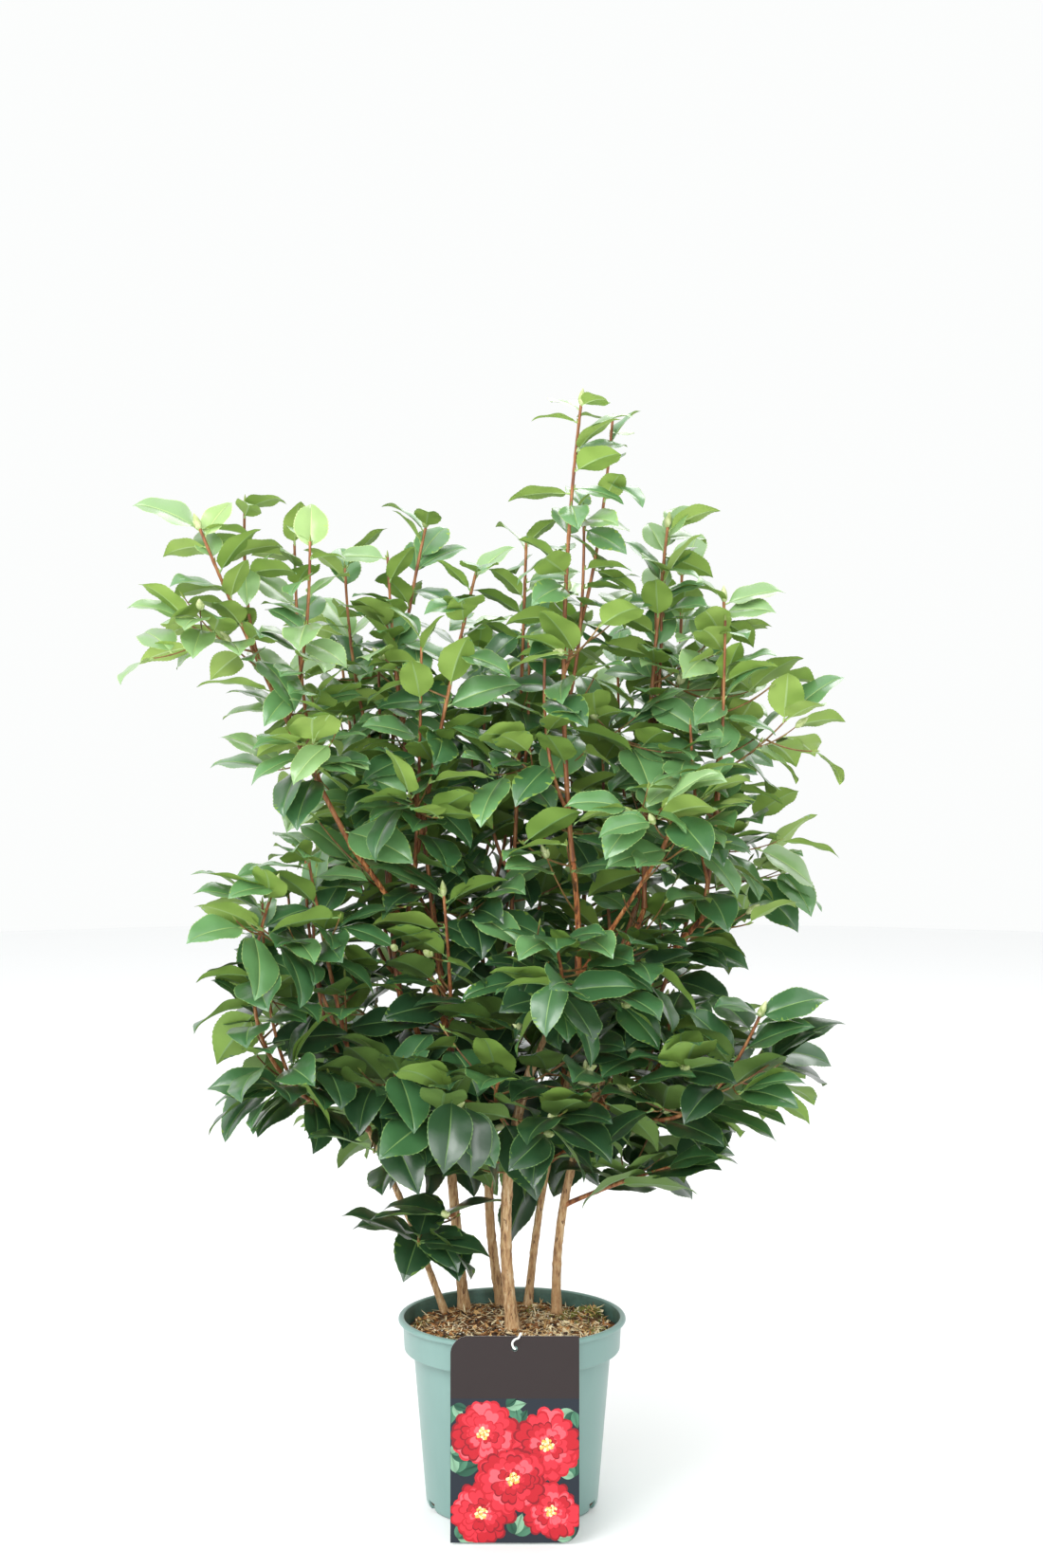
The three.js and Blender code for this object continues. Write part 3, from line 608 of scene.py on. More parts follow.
def makeCard(shape):
    holeAt, front = shape["tall"] - shape["holeBelow"], shape["thick"] - 0.07
    paper = grained("cardPaper", shape["paper"], 0.5, (1200, 3), 0.1, 0.0002)
    points, faces = filled("sheet", cardOutline(shape, 0, shape["tall"], holeAt), 0, front - 0.01)
    sheet = {"points": onCard(shape, points), "faces": faces, "looks": 0}
    finished(joinedMesh("card_sheet", [sheet], [paper], sharp=30), "printed_card", "label_card")

    inks = [shape["header"], shape["ground"], *shape["leaves"], *shape["petals"], *shape["stamens"]]
    looks = [grained(f"cardInk{i}", ink, 0.38, (800, 2), 0.06, 0.0002, specular=0.3)
             for i, ink in enumerate(inks)]
    leafLook, petalLook, stamenLook = 2, 2 + len(shape["leaves"]), len(inks) - 2
    fields = []
    for loops, look in ((cardOutline(shape, shape["headerFrom"], shape["tall"], holeAt), 0),
                        (cardOutline(shape, 0, shape["headerFrom"]), 1)):
        points, faces = filled("ink", loops, front)
        fields.append({"points": points, "faces": faces, "looks": look})
    picture = []
    lift = front + 0.01
    for i, (x, y, long, heading) in enumerate(shape["sprigs"]):
        for k in range(shape["sprigLeaves"]):
            turn = math.radians(heading + (k - 1) * 42)
            lift += shape["inkStep"]
            picture.append(leafFlat(x, y, long * (1 - 0.12 * k), turn, lift, leafLook + (i + k) % 3))
    rng = random.Random(shape["seed"])
    for x, y, radius, count, turn in shape["blooms"]:
        rows = [(1.0, count, 0.56, 0), (0.9, count, 0.5, 0.5), (0.7, count, 0.5, 0.2),
                (0.5, count - 1, 0.56, 0.6), (0.3, 5, 0.62, 0)]
        for size, number, width, shift in rows:
            for k in range(number):
                heading = math.radians(turn) + 2 * math.pi * (k + shift + rng.uniform(-0.16, 0.16)) / number
                reach, tone = radius * size * rng.uniform(0.86, 1.08), rng.choice((1, 1, 2, 2, 3))
                for step, share in ((-1, 1.0), (0, 0.93), (rng.choice((-1, 0, 1)), rng.uniform(0.5, 0.72))):
                    lift += shape["inkStep"]
                    notch, look = rng.uniform(0.05, 0.16), petalLook + min(max(tone + step, 0), 3)
                    picture.append(petalShape(x, y, reach * share, heading, width * share, notch, lift, look))
        for k in range(shape["bloomHeart"]):
            a, r = 2.4 * k + rng.uniform(-0.4, 0.4), radius * 0.17 * math.sqrt(k / shape["bloomHeart"])
            lift += shape["inkStep"] / 4
            picture.append(petalShape(x + r * math.cos(a), y + r * math.sin(a), radius * 0.045, a, 3.14, 0,
                                      lift, stamenLook + k % 2))
    for chunk in picture:
        chunk["points"] = held(chunk["points"], shape["wide"] / 2 - 0.3, shape["headerFrom"] - 0.3,
                               shape["corner"])
    for chunk in fields + picture:
        chunk["points"] = onCard(shape, chunk["points"])
    finished(joinedMesh("card_print", fields + picture, looks, sharp=180), "printed_card", "label_card")


# Keeps the print inside the card's picture area.
def held(points, wide, high, corner):
    points = points.copy()
    points[:, 0] = np.clip(points[:, 0], -wide, wide)
    points[:, 1] = np.clip(points[:, 1], 0.3, high)
    middle = np.array([wide + 0.3 - corner, corner])
    away = points[:, :2] - middle
    far = (away[:, 0] > 0) & (away[:, 1] < 0)
    length = np.linalg.norm(away, axis=1)
    over = far & (length > corner - 0.3)
    points[over, :2] = middle + away[over] / length[over, None] * (corner - 0.3)
    return points


# From inside the pot over its lip, up behind the card, over the card's edge and down to the hole.
def makeHook(shape):
    lean, thick, top = math.radians(cardShape["lean"]), cardShape["thick"], potShape["height"]
    tall, below, off = cardShape["tall"], cardShape["holeBelow"], cardShape["off"]
    gap = shape["radius"] + 0.3
    inner = 2 * gap - 0.3 - (potShape["collarRadius"] - potShape["wall"])
    edge, eye = (cardShape["clear"] + d * math.cos(lean) for d in (tall, tall - below))
    right, left = off + shape["right"], shape["left"]

    def front(z):
        return cardShape["touch"] + (z - top) * math.tan(lean) - thick / math.cos(lean)

    # The curl's points: across, and below the edge.
    curl = [(3.6, 0.9), (0.4, 2.4), (0.4 - left, 5), (0.3 - left, 8), (-0.9, 10.6)]
    corners = [(right, inner, top - shape["inside"]), (right, inner, top - 1),
               (right, inner - 2.5, top + gap + 1.2), (right, front(edge) + thick + gap + 1.8, edge - 3),
               (right, front(edge) + thick / 2, edge + gap + 1.2),
               *((off + x, front(edge - down) - gap - 1, edge - down) for x, down in curl),
               (off + shape["off"], front(eye) - gap - 0.3, eye)]
    path = smoothThrough(np.array(corners), 64)
    radii = np.full(len(path), shape["radius"])
    radii[[0, -1]] *= 0.6
    plastic = grained("whitePlastic", shape["colour"], 0.38, (1500, 2), 0.08, 0.0002)
    finished(joinedMesh("card_hook", [tubeChunk(path, radii, 14)], [plastic]), "white_plastic", "label_hook")


# A soft line through its corners.
def smoothThrough(corners, count):
    padded = np.vstack([2 * corners[0] - corners[1], corners, 2 * corners[-1] - corners[-2]])
    out = []
    for t in np.linspace(0, len(corners) - 1, count):
        i = min(int(t), len(corners) - 2)
        a, b, c, d = padded[i:i + 4]
        s = t - i
        pull, bend = 2 * a - 5 * b + 4 * c - d, 3 * b - a - 3 * c + d
        out.append(0.5 * (2 * b + (c - a) * s + pull * s * s + bend * s ** 3))
    return np.array(out)


makeCard(cardShape)
makeHook(hookShape)
print("card and hook")


# The plant's growth rule: stems, boughs, leafy shoots, side twigs and leaves.
stems = {
    "stem_centre": {"foot": (1, 0), "waist": (2, -5, 368), "tip": (64, -20, 526), "thick": (13, 8.5)},
    "stem_left": {"foot": (-49, 80), "waist": (-58, 73, 272), "tip": (-65, 60, 361), "thick": (11.5, 9)},
    "stem_front_left": {"foot": (-68, 60), "waist": (-103, 36, 274), "tip": (-142, 10, 370),
                        "thick": (7.5, 5.5)},
    "stem_right": {"foot": (45, 55), "waist": (54, 44, 300), "tip": (94, 35, 424), "thick": (10, 7.5)},
    "stem_back_left": {"foot": (-11, 93), "waist": (-24, 91, 308), "tip": (-8, 88, 440), "thick": (10.5, 8)},
    "stem_back_right": {"foot": (16, 88), "waist": (34, 95, 308), "tip": (62, 100, 420), "thick": (8.5, 6.5)},
}
stemFoot = {"z": 172.3, "gain": 0.42, "fade": 11, "ease": 1.4}
boughs = {
    "bough_left_high": {"from": ("stem_left", 1), "waist": (-74, 22, 500), "tip": (-154, -30, 652),
                        "thick": (7.5, 5)},
    "bough_left_low": {"from": ("stem_left", 1), "waist": (-84, 50, 432), "tip": (-113, 32, 506),
                       "thick": (7, 5.5)},
    "bough_top": {"from": ("stem_centre", 1), "waist": (64, -26, 580), "tip": (59, -32, 640),
                  "thick": (6.5, 5.2)},
    "bough_centre_right": {"from": ("stem_centre", 1), "waist": (102, -4, 540), "tip": (130, 8, 590),
                           "thick": (6, 5)},
    "bough_centre_front": {"from": ("stem_centre", 0.98), "waist": (98, -44, 578), "tip": (138, -74, 646),
                           "thick": (5, 3.6)},
    "bough_front_right": {"from": ("stem_centre", 0.71), "waist": (62, -28, 408), "tip": (103, -42, 397),
                          "thick": (5.5, 4.2)},
    "bough_right": {"from": ("stem_right", 1), "waist": (136, 22, 512), "tip": (188, 11, 580),
                    "thick": (6.5, 5.2)},
}
# name: limb it leaves and where, waist, tip, bare share, side twigs, their reach, bearing of the top leaf,
# dip of the leaves, flower buds, seed
shoots = {
    "shoot_top": ("bough_top", 1, (50, -44, 850), (66, -52, 1078), 0.06, 2, 60, 100, -6, 1, 11),
    "shoot_left_long": ("bough_left_high", 1, (-232, -65, 815), (-294, -80, 960), 0.05, 3, 70, 180, 0, 2, 23),
    "shoot_far_left": ("stem_front_left", 1, (-240, -42, 465), (-225, -80, 620), 0.12, 2, 80, 200, 8, 1, 31),
    "shoot_left": ("stem_front_left", 1, (-172, -24, 510), (-196, -40, 643), 0.12, 3, 80, 230, 6, 2, 43),
    "shoot_left_inner": ("bough_left_high", 0.35, (-86, 18, 650), (-122, -10, 870),
                         0.16, 2, 70, 250, 2, 1, 53),
    "shoot_left_rear": ("bough_left_low", 1, (-120, 50, 730), (-85, 54, 966), 0.14, 3, 75, 150, 0, 1, 61),
    "shoot_centre_left": ("bough_left_low", 1, (-82, -20, 700), (-34, -50, 918), 0.16, 3, 75, 40, 2, 0, 71),
    "shoot_centre": ("stem_back_left", 1, (4, 46, 680), (14, 10, 948), 0.2, 3, 75, 120, 2, 0, 83),
    "shoot_right_inner": ("bough_centre_right", 1, (135, 16, 770), (153, 30, 965), 0.1, 3, 75, 20, 0, 1, 97),
    "shoot_right": ("bough_right", 1, (203, 8, 735), (206, 0, 892), 0.08, 4, 85, 0, 2, 1, 103),
    "shoot_right_rear": ("stem_back_right", 1, (146, 112, 660), (172, 120, 920), 0.22, 3, 80, 60, 0, 1, 113),
    "shoot_back_left_inner": ("stem_back_left", 0.94, (-40, 128, 640), (-30, 146, 868),
                              0.2, 3, 80, 90, 0, 0, 127),
    "shoot_back_left": ("stem_left", 0.79, (-132, 130, 560), (-178, 150, 850), 0.22, 4, 85, 140, 2, 1, 131),
    "shoot_back": ("stem_back_right", 0.85, (62, 186, 600), (58, 210, 905), 0.22, 4, 85, 80, 0, 1, 149),
    "shoot_back_right": ("stem_right", 0.84, (176, 104, 560), (214, 134, 800), 0.22, 4, 85, 30, 2, 1, 157),
    "spray_centre_front": ("bough_centre_front", 1, (150, -86, 676), (158, -96, 720),
                           0.1, 2, 55, 330, 2, 1, 163),
    "spray_front_right": ("bough_front_right", 1, (176, -66, 406), (236, -90, 500),
                          0.1, 3, 70, 350, 18, 2, 173),
    "spray_low_right": ("stem_right", 0.56, (106, 20, 314), (160, -2, 336), 0.3, 1, 55, 350, 24, 0, 181),
    "spray_low_left": ("stem_left", 0.61, (-84, 20, 270), (-92, -14, 262), 0.3, 1, 50, 215, 38, 0, 191),
    "spray_inner_left": ("bough_left_high", 0.2, (-60, -2, 500), (-66, -32, 608),
                         0.15, 2, 60, 270, 10, 2, 199),
    "skirt_left": ("stem_left", 0.9, (-104, 2, 392), (-112, -52, 440), 0.3, 4, 85, 260, 26, 0, 211),
    "skirt_centre": ("stem_centre", 0.61, (-14, -58, 404), (-12, -112, 440), 0.28, 4, 80, 250, 32, 0, 223),
    "skirt_front": ("stem_centre", 0.88, (48, -76, 520), (40, -118, 574), 0.25, 4, 85, 280, 24, 1, 227),
    "skirt_right": ("stem_right", 0.93, (136, -18, 430), (150, -62, 486), 0.28, 4, 85, 300, 28, 0, 233),
    "skirt_right_back": ("stem_back_right", 0.65, (120, 128, 378), (170, 138, 450),
                         0.26, 4, 85, 40, 26, 0, 241),
    "skirt_back": ("stem_back_right", 0.42, (28, 158, 344), (20, 186, 430), 0.28, 4, 85, 90, 26, 0, 251),
    "skirt_left_back": ("stem_back_left", 0.65, (-94, 140, 376), (-140, 150, 470),
                        0.28, 4, 85, 150, 26, 0, 257),
}
shootRule = {"thick": (4.6, 2.4), "between": 38, "runs": 6}
twigRule = {
    "thick": (2.4, 1.7), "between": 34, "runs": 2, "bare": 0.34, "above": 0.05, "top": 0.78,
    "climb": (12, 42),
    "reach": (0.75, 1.1), "sag": 0.06, "lead": 60, "turn": 137.5, "spread": 30, "swing": 40,
}
leafRule = {
    "long": (90, 60), "heights": (260, 1050), "slim": (0.57, 0.54), "longer": (0.84, 1.12),
    "wider": (0.92, 1.08), "turn": 144, "spread": 20, "swing": 38, "climb": (-26, 38), "topClimb": (18, 55),
    "roll": 42, "bend": (18, 46), "last": 0.985,
}
tries = 6
up = np.array([0.0, 0, 1])


# Seeded random numbers from 0 to 1, the same as the solids were grown with.
def draws(seed):
    state = seed

    def following():
        nonlocal state
        state = state * 16807 % 2147483647
        return state / 2147483647

    following()
    following()
    return following


# A parabola through a limb's foot, waist and tip.
def bow(foot, waist, tip):
    foot, waist, tip = (np.asarray(point, float) for point in (foot, waist, tip))
    pull = 2 * waist - 0.5 * (foot + tip)
    return lambda t: (1 - t) ** 2 * foot + 2 * t * (1 - t) * pull + t * t * tip


# The straight runs along a line, as a line of its own.
def chords(path, runs):
    points = [path(i / runs) for i in range(runs + 1)]

    def along(t):
        i = min(int(t * runs), runs - 1)
        return points[i] + (points[i + 1] - points[i]) * (t * runs - i)

    return along


def lengthOf(path, steps=24):
    points = np.array([path(i / steps) for i in range(steps + 1)])
    return np.linalg.norm(np.diff(points, axis=0), axis=1).sum()


# A limb's smooth curve, its straight runs, and its thickness at foot and tip.
def limbOf(curve, thick, runs):
    straight = chords(curve, runs)
    return {"curve": curve, "runs": straight, "thick": thick, "long": lengthOf(straight)}


limbs = {}
for name, parts in stems.items():
    path = bow((*parts["foot"], stemFoot["z"]), parts["waist"], parts["tip"])
    limbs[name] = limbOf(lambda t, path=path: path(t ** stemFoot["ease"]), parts["thick"], 8)
for name, parts in boughs.items():
    parent, share = parts["from"]
    limbs[name] = limbOf(bow(limbs[parent]["runs"](share), parts["waist"], parts["tip"]), parts["thick"], 6)
for name, (parent, share, waist, tip, *_) in shoots.items():
    path = bow(limbs[parent]["runs"](share), waist, tip)
    limbs[name] = limbOf(path, shootRule["thick"], shootRule["runs"])


# How far up the crown a point is, from 0 to 1.
def heightShare(point):
    low, high = leafRule["heights"]
    return min(max((point[2] - low) / (high - low), 0), 1)


# One leaf by the rule.
def leafTry(root, bearing, dip, seed, attempt, atTip):
    draw = draws(seed * 64 + attempt + 1)
    share = heightShare(root)
    swing = attempt * (leafRule["swing"] if attempt % 2 else -leafRule["swing"])
    climb = among(leafRule["topClimb"], draw()) if atTip else among(leafRule["climb"], draw()) - dip
    heading = math.radians(bearing + swing + blend(-leafRule["spread"], leafRule["spread"], draw()))
    roll = math.radians(blend(-leafRule["roll"], leafRule["roll"], draw()))
    long = among(leafRule["long"], share) * among(leafRule["longer"], draw())
    slim = among(leafRule["slim"], share) * among(leafRule["wider"], draw())
    bend = math.radians(among(leafRule["bend"], draw()))
    return leafFrame(root, heading, math.radians(climb), roll, long, slim, bend)


def heldOut(heading, climb):
    flat = math.cos(climb)
    return np.array([flat * math.cos(heading), flat * math.sin(heading), math.sin(climb)])


def leafFrame(root, heading, climb, roll, long, slim, bend):
    ahead = heldOut(heading, climb)
    level = unit(np.cross(ahead, up))
    side = level * math.cos(roll) + np.cross(level, ahead) * math.sin(roll)
    return {"root": root, "ahead": ahead, "side": side, "top": np.cross(side, ahead), "long": long,
            "half": long * slim / 2, "bend": bend}


# A point on an arched blade. lift is square to it.
def onBlade(leaf, share, across=0.0, lift=0.0):
    share, across, lift = (np.asarray(v, float)[..., None] for v in (share, across, lift))
    angle, long, bend = leaf["bend"] * share, leaf["long"], leaf["bend"]
    ahead = long * np.sin(angle) / bend + lift * np.sin(angle)
    rise = -long * (1 - np.cos(angle)) / bend + lift * np.cos(angle)
    return leaf["root"] + leaf["ahead"] * ahead + leaf["top"] * rise + leaf["side"] * across


# The CAD node's corners in a search tree, in millimetres.
def cornersOf(nodeName):
    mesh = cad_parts[nodeName].data
    tree = KDTree(len(mesh.vertices))
    for i, vertex in enumerate(mesh.vertices):
        tree.insert(vertex.co / mm, i)
    tree.balance()
    return tree


def isThere(tree, point, within):
    return tree.find(Vector(point))[2] <= within


# The leaves that the solids hold along a limb, each with its share of the limb's length.
def leavesAlong(limb, bare, between, start, dip, seed, tree):
    count = max(1, math.floor(limb["long"] * (1 - bare) / between + 0.5))
    found = []
    for i in range(count + 1):
        at, atTip = blend(bare, leafRule["last"], i / count), i >= count - 1
        bearing = start + (i - count) * leafRule["turn"]
        for attempt in range(tries):
            leaf = leafTry(limb["runs"](at), bearing, dip, seed * 64 + i, attempt, atTip)
            if isThere(tree, onBlade(leaf, 1.0), 0.5):
                leaf.update(root=limb["curve"](at), at=at, atTip=atTip, order=count - i)
                found.append(leaf)
                break
    return found


def twigLimb(foot, heading, climb, long, thick, runs):
    out = long * math.cos(climb)
    tip = foot + np.array([out * math.cos(heading), out * math.sin(heading), long * math.sin(climb)])
    return limbOf(bow(foot, (foot + tip) / 2 - up * twigRule["sag"] * long, tip), thick, runs)


def twigTry(foot, face, reach, dip, number, attempt, draw):
    swing = number * twigRule["turn"] + attempt * twigRule["swing"] + twigRule["spread"] * draw()
    bearing = face + twigRule["lead"] + swing
    long = reach * among(twigRule["reach"], draw())
    climb = math.radians(among(twigRule["climb"], draw()) - dip / 2)
    return bearing, twigLimb(foot, math.radians(bearing), climb, long, twigRule["thick"], twigRule["runs"])


sprays = []  # each spray is a shoot's own stem or one side twig, with its leaves
for name, (parent, share, waist, tip, bare, twigs, reach, face, dip, buds, seed) in shoots.items():
    tree = cornersOf(name)
    stem = limbs[name]
    leaves = leavesAlong(stem, bare, shootRule["between"], face, dip, seed * 8, tree)
    own = [{"node": name, "limb": stem, "main": True, "bare": bare, "leaves": leaves}]
    for number in range(twigs):
        draw = draws(seed * 4096 + number + 1)
        at = blend(bare + twigRule["above"], twigRule["top"], (number + 0.5 * draw()) / twigs)
        best = None
        for attempt in range(tries):
            bearing, twig = twigTry(stem["runs"](at), face, reach, dip, number, attempt, draw)
            leaves = leavesAlong(twig, twigRule["bare"], twigRule["between"], bearing, dip,
                                 seed * 8 + number + 1, tree)
            score = 2 * len(leaves) + isThere(tree, twig["runs"](1), 1.3)
            if score and (best is None or score > best[0]):
                best = (score, twig, leaves)
        if best:
            _, twig, leaves = best
            own.append({"node": name, "limb": twig, "main": False, "bare": twigRule["bare"],
                        "leaves": leaves})
    for i, spray in enumerate(own):
        ahead = unit(spray["limb"]["runs"](1) - spray["limb"]["runs"](0.95))
        spray["bud"] = i < buds and isThere(tree, spray["limb"]["runs"](1) + ahead * 13, 0.7)
    sprays += own
print("sprays", len(sprays), "leaves", sum(len(s["leaves"]) for s in sprays))


# Finer growth where there is room: more side twigs, twiglets on them, and leaves in between.
fineRule = {
    "wanted": [(240, 0.0), (320, 0.3), (400, 1.0), (1000, 1.0), (1060, 0.7)],
    "axis": (-8, 35), "outward": 85, "margin": 6,
    "risers": 3, "riserFrom": (0.08, 0.55), "riserLong": (150, 270), "riserOut": (16, 42),
    "riserThick": (3.6, 2.2), "riserTries": 24, "riserBare": 0.12,
    "twigs": 3, "twigReach": (0.5, 0.95), "twigThick": (2.2, 1.5), "twigsBelow": 880, "twigClimb": (10, 74),
    "inner": 5, "innerLong": (45, 95), "innerFrom": (0.42, 0.97), "innerAbove": 330, "innerClimb": (-10, 50),
    "twiglets": 3, "twigletLong": (34, 60), "twigletThick": (1.8, 1.2), "twigletFrom": (0.35, 0.85),
    "twigletClimb": (-20, 50), "bare": 0.3, "leafGap": 20, "apart": 6, "smaller": (0.78, 1.04),
    "lowClimb": (-64, 14), "highClimb": (-24, 50), "roll": 38, "bend": (16, 44),
    "topFrom": 0.55, "topGap": 15, "topTries": 14, "topSmaller": (0.7, 1.0), "topClimb": (-12, 66),
    "clearFront": 90, "keepsClear": 0.9,    # leaves mostly leave open the outer side of a shoot, this far out
    "mostBodies": 9000,
}
fold = {"range": (0.06, 0.36), "eased": 0.42}
bodyCentres, bodyRadii = np.zeros((fineRule["mostBodies"], 3)), np.zeros(fineRule["mostBodies"])
bodyTrees = []


# A coarse body of a leaf or twig for the room test: (search tree, centre, radius, limb that it grows on).
def bodyOf(points, faces, holder):
    centre = points.mean(axis=0)
    tree = BVHTree.FromPolygons(points.tolist(), faces)
    return tree, centre, np.linalg.norm(points - centre, axis=1).max(), holder


coarseShares = np.repeat((0.1, 0.3, 0.55, 0.8, 1.0), 3)
coarseSides = np.tile((-1.0, 0.0, 1.0), 5)
coarseFaces = [(r * 3 + k, r * 3 + k + 1, r * 3 + k + 4, r * 3 + k + 3) for r in range(4) for k in range(2)]


def foldLift(leaf, width, across):
    return width * leaf["fold"] * (across - fold["eased"] * across * across)


def leafBody(leaf, holder):
    width = leaf["half"] * np.array([0.25, 0.92, 0.97, 0.55, 0.05])[np.arange(15) // 3]
    points = onBlade(leaf, coarseShares, coarseSides * width, foldLift(leaf, width, np.abs(coarseSides)))
    return bodyOf(points, coarseFaces, holder)


def limbBody(limb, holder, steps=7):
    chunk = tubeChunk([limb["curve"](t) for t in np.linspace(0, 1, steps)],
                      [among(limb["thick"], t) / 2 + 0.3 for t in np.linspace(0, 1, steps)], 5)
    faces = [[int(v) for v in f if v >= 0] for f in chunk["faces"]]
    return bodyOf(chunk["points"], faces, holder)


def keep(body):
    count = len(bodyTrees)
    bodyCentres[count], bodyRadii[count] = body[1], body[2]
    bodyTrees.append(body)


def hasRoom(body, *holders):
    count = len(bodyTrees)
    near = np.linalg.norm(bodyCentres[:count] - body[1], axis=1) < bodyRadii[:count] + body[2]
    for i in np.flatnonzero(near):
        other = bodyTrees[i]
        if not any(other[3] is h for h in holders) and other[0].overlap(body[0]):
            return False
    return True


def inReach(box, point):
    margin = fineRule["margin"]
    return bool((point >= box[0] - margin).all() and (point <= box[1] + margin).all())


def outward(point):
    return math.degrees(math.atan2(point[1] - fineRule["axis"][1], point[0] - fineRule["axis"][0]))


def offAxis(point):
    return math.hypot(point[0] - fineRule["axis"][0], point[1] - fineRule["axis"][1])


def wantedAt(point):
    return np.interp(point[2], *zip(*fineRule["wanted"]))


# An upright side shoot that leaves its parent outward and turns up.
def riser(parent, at, draw, box):
    foot = parent["curve"](at)
    for _ in range(fineRule["riserTries"]):
        heading = math.radians(outward(foot) + blend(-110, 110, draw()))
        out, long = among(fineRule["riserOut"], draw()), among(fineRule["riserLong"], draw())
        side = np.array([math.cos(heading), math.sin(heading), 0]) * out
        waist = foot + side * 0.85 + up * long * 0.4
        tip = foot + side * among((0.9, 1.5), draw()) + up * long
        limb = limbOf(bow(foot, waist, tip), fineRule["riserThick"], 6)
        body = limbBody(limb, parent, 10)
        if inReach(box, limb["curve"](1)) and inReach(box, limb["curve"](0.5)) and hasRoom(body, parent):
            keep(body)
            return limb
    return None


# The strip in front of each stem, bough and shoot, out of the crown.
def openStrips(shown):
    points, faces = [], []
    for limb in shown:
        start = len(points)
        for t in np.linspace(0.05, 1, 9):
            here = limb["curve"](t)
            heading = math.radians(outward(here))
            out = np.array([math.cos(heading), math.sin(heading), 0.1])
            points += [here, here + fineRule["clearFront"] * out]
        faces += [(start + k, start + k + 1, start + k + 3, start + k + 2) for k in range(0, 16, 2)]
    return BVHTree.FromPolygons([list(p) for p in points], faces)


# A leaf at a point of a limb, facing out of the crown: it hangs low down and stands up near the top.
def fineLeaf(limb, at, draw, atTip, box, onTop=False):
    root = limb["curve"](at)
    share = heightShare(root)
    climbs = [blend(a, b, share) for a, b in zip(fineRule["lowClimb"], fineRule["highClimb"])]
    for attempt in range(fineRule["topTries"] if onTop else tries):
        spreadNow = 175 if onTop else fineRule["outward"] * (1 + 0.16 * attempt)
        heading = math.radians(outward(root) + blend(-spreadNow, spreadNow, draw()))
        climb = math.radians(among(fineRule["topClimb"] if onTop else climbs, draw()) + (14 if atTip else 0))
        roll = math.radians(blend(-fineRule["roll"], fineRule["roll"], draw()))
        long = among(leafRule["long"], share) * among(fineRule["topSmaller" if onTop else "smaller"], draw())
        slim = among(leafRule["slim"], share) * among(leafRule["wider"], draw())
        bend = math.radians(among(fineRule["bend"], draw()))
        leaf = leafFrame(root, heading, climb, roll, long, slim, bend)
        leaf.update(at=at, atTip=atTip, order=9, fold=among(fold["range"], draw()), fine=True)
        body = leafBody(leaf, limb)
        if draw() < fineRule["keepsClear"] and not onTop and strips.overlap(body[0]):
            continue
        if inReach(box, onBlade(leaf, 1.0)) and inReach(box, onBlade(leaf, 0.6)) and hasRoom(body, limb):
            keep(body)
            return leaf
    return None


# Leaves along a new twig, and the twig itself, kept if it finds room and bears a leaf.
def fineTwig(name, parent, at, long, thick, climb, draw):
    foot, box, bare = parent["curve"](at), reaches[name], fineRule["bare"]
    for _ in range(tries):
        heading = math.radians(outward(foot) + blend(-100, 100, draw()))
        rise = math.radians(among(climb, draw()))
        reach = long * among((0.85, 1.15), draw())
        twig = twigLimb(foot, heading, rise, reach, thick, 4)
        body = limbBody(twig, parent)
        if not inReach(box, twig["curve"](1)) or not hasRoom(body, parent):
            continue
        count = max(2, round(reach * (1 - bare) / fineRule["leafGap"]))
        leaves = [fineLeaf(twig, blend(bare, 0.99, i / count), draw, i >= count - 1, box)
                  for i in range(count + 1)]
        leaves = [leaf for leaf in leaves if leaf]
        if leaves:
            keep(body)
            return [{"node": name, "limb": twig, "main": False, "bud": False, "leaves": leaves}]
    return []


foldRandom = random.Random(19)
for limb in limbs.values():
    keep(limbBody(limb, limb, 12))
for spray in sprays:
    if not spray["main"]:
        keep(limbBody(spray["limb"], spray["limb"]))
    for leaf in spray["leaves"]:
        leaf.update(fold=foldRandom.uniform(*fold["range"]), fine=False)
        keep(leafBody(leaf, spray["limb"]))

reaches = {name: [np.array(corner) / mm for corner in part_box(name)] for name in shoots}
risers = {}
for name, (*_, seed) in shoots.items():
    draw = draws(seed * 733 + 5)
    count = fineRule["risers"] if name.startswith("shoot") else 0
    made = [riser(limbs[name], among(fineRule["riserFrom"], (i + draw()) / count), draw, reaches[name])
            for i in range(count)]
    risers[name] = [limb for limb in made if limb]
strips = openStrips(list(limbs.values()) + [limb for made in risers.values() for limb in made])

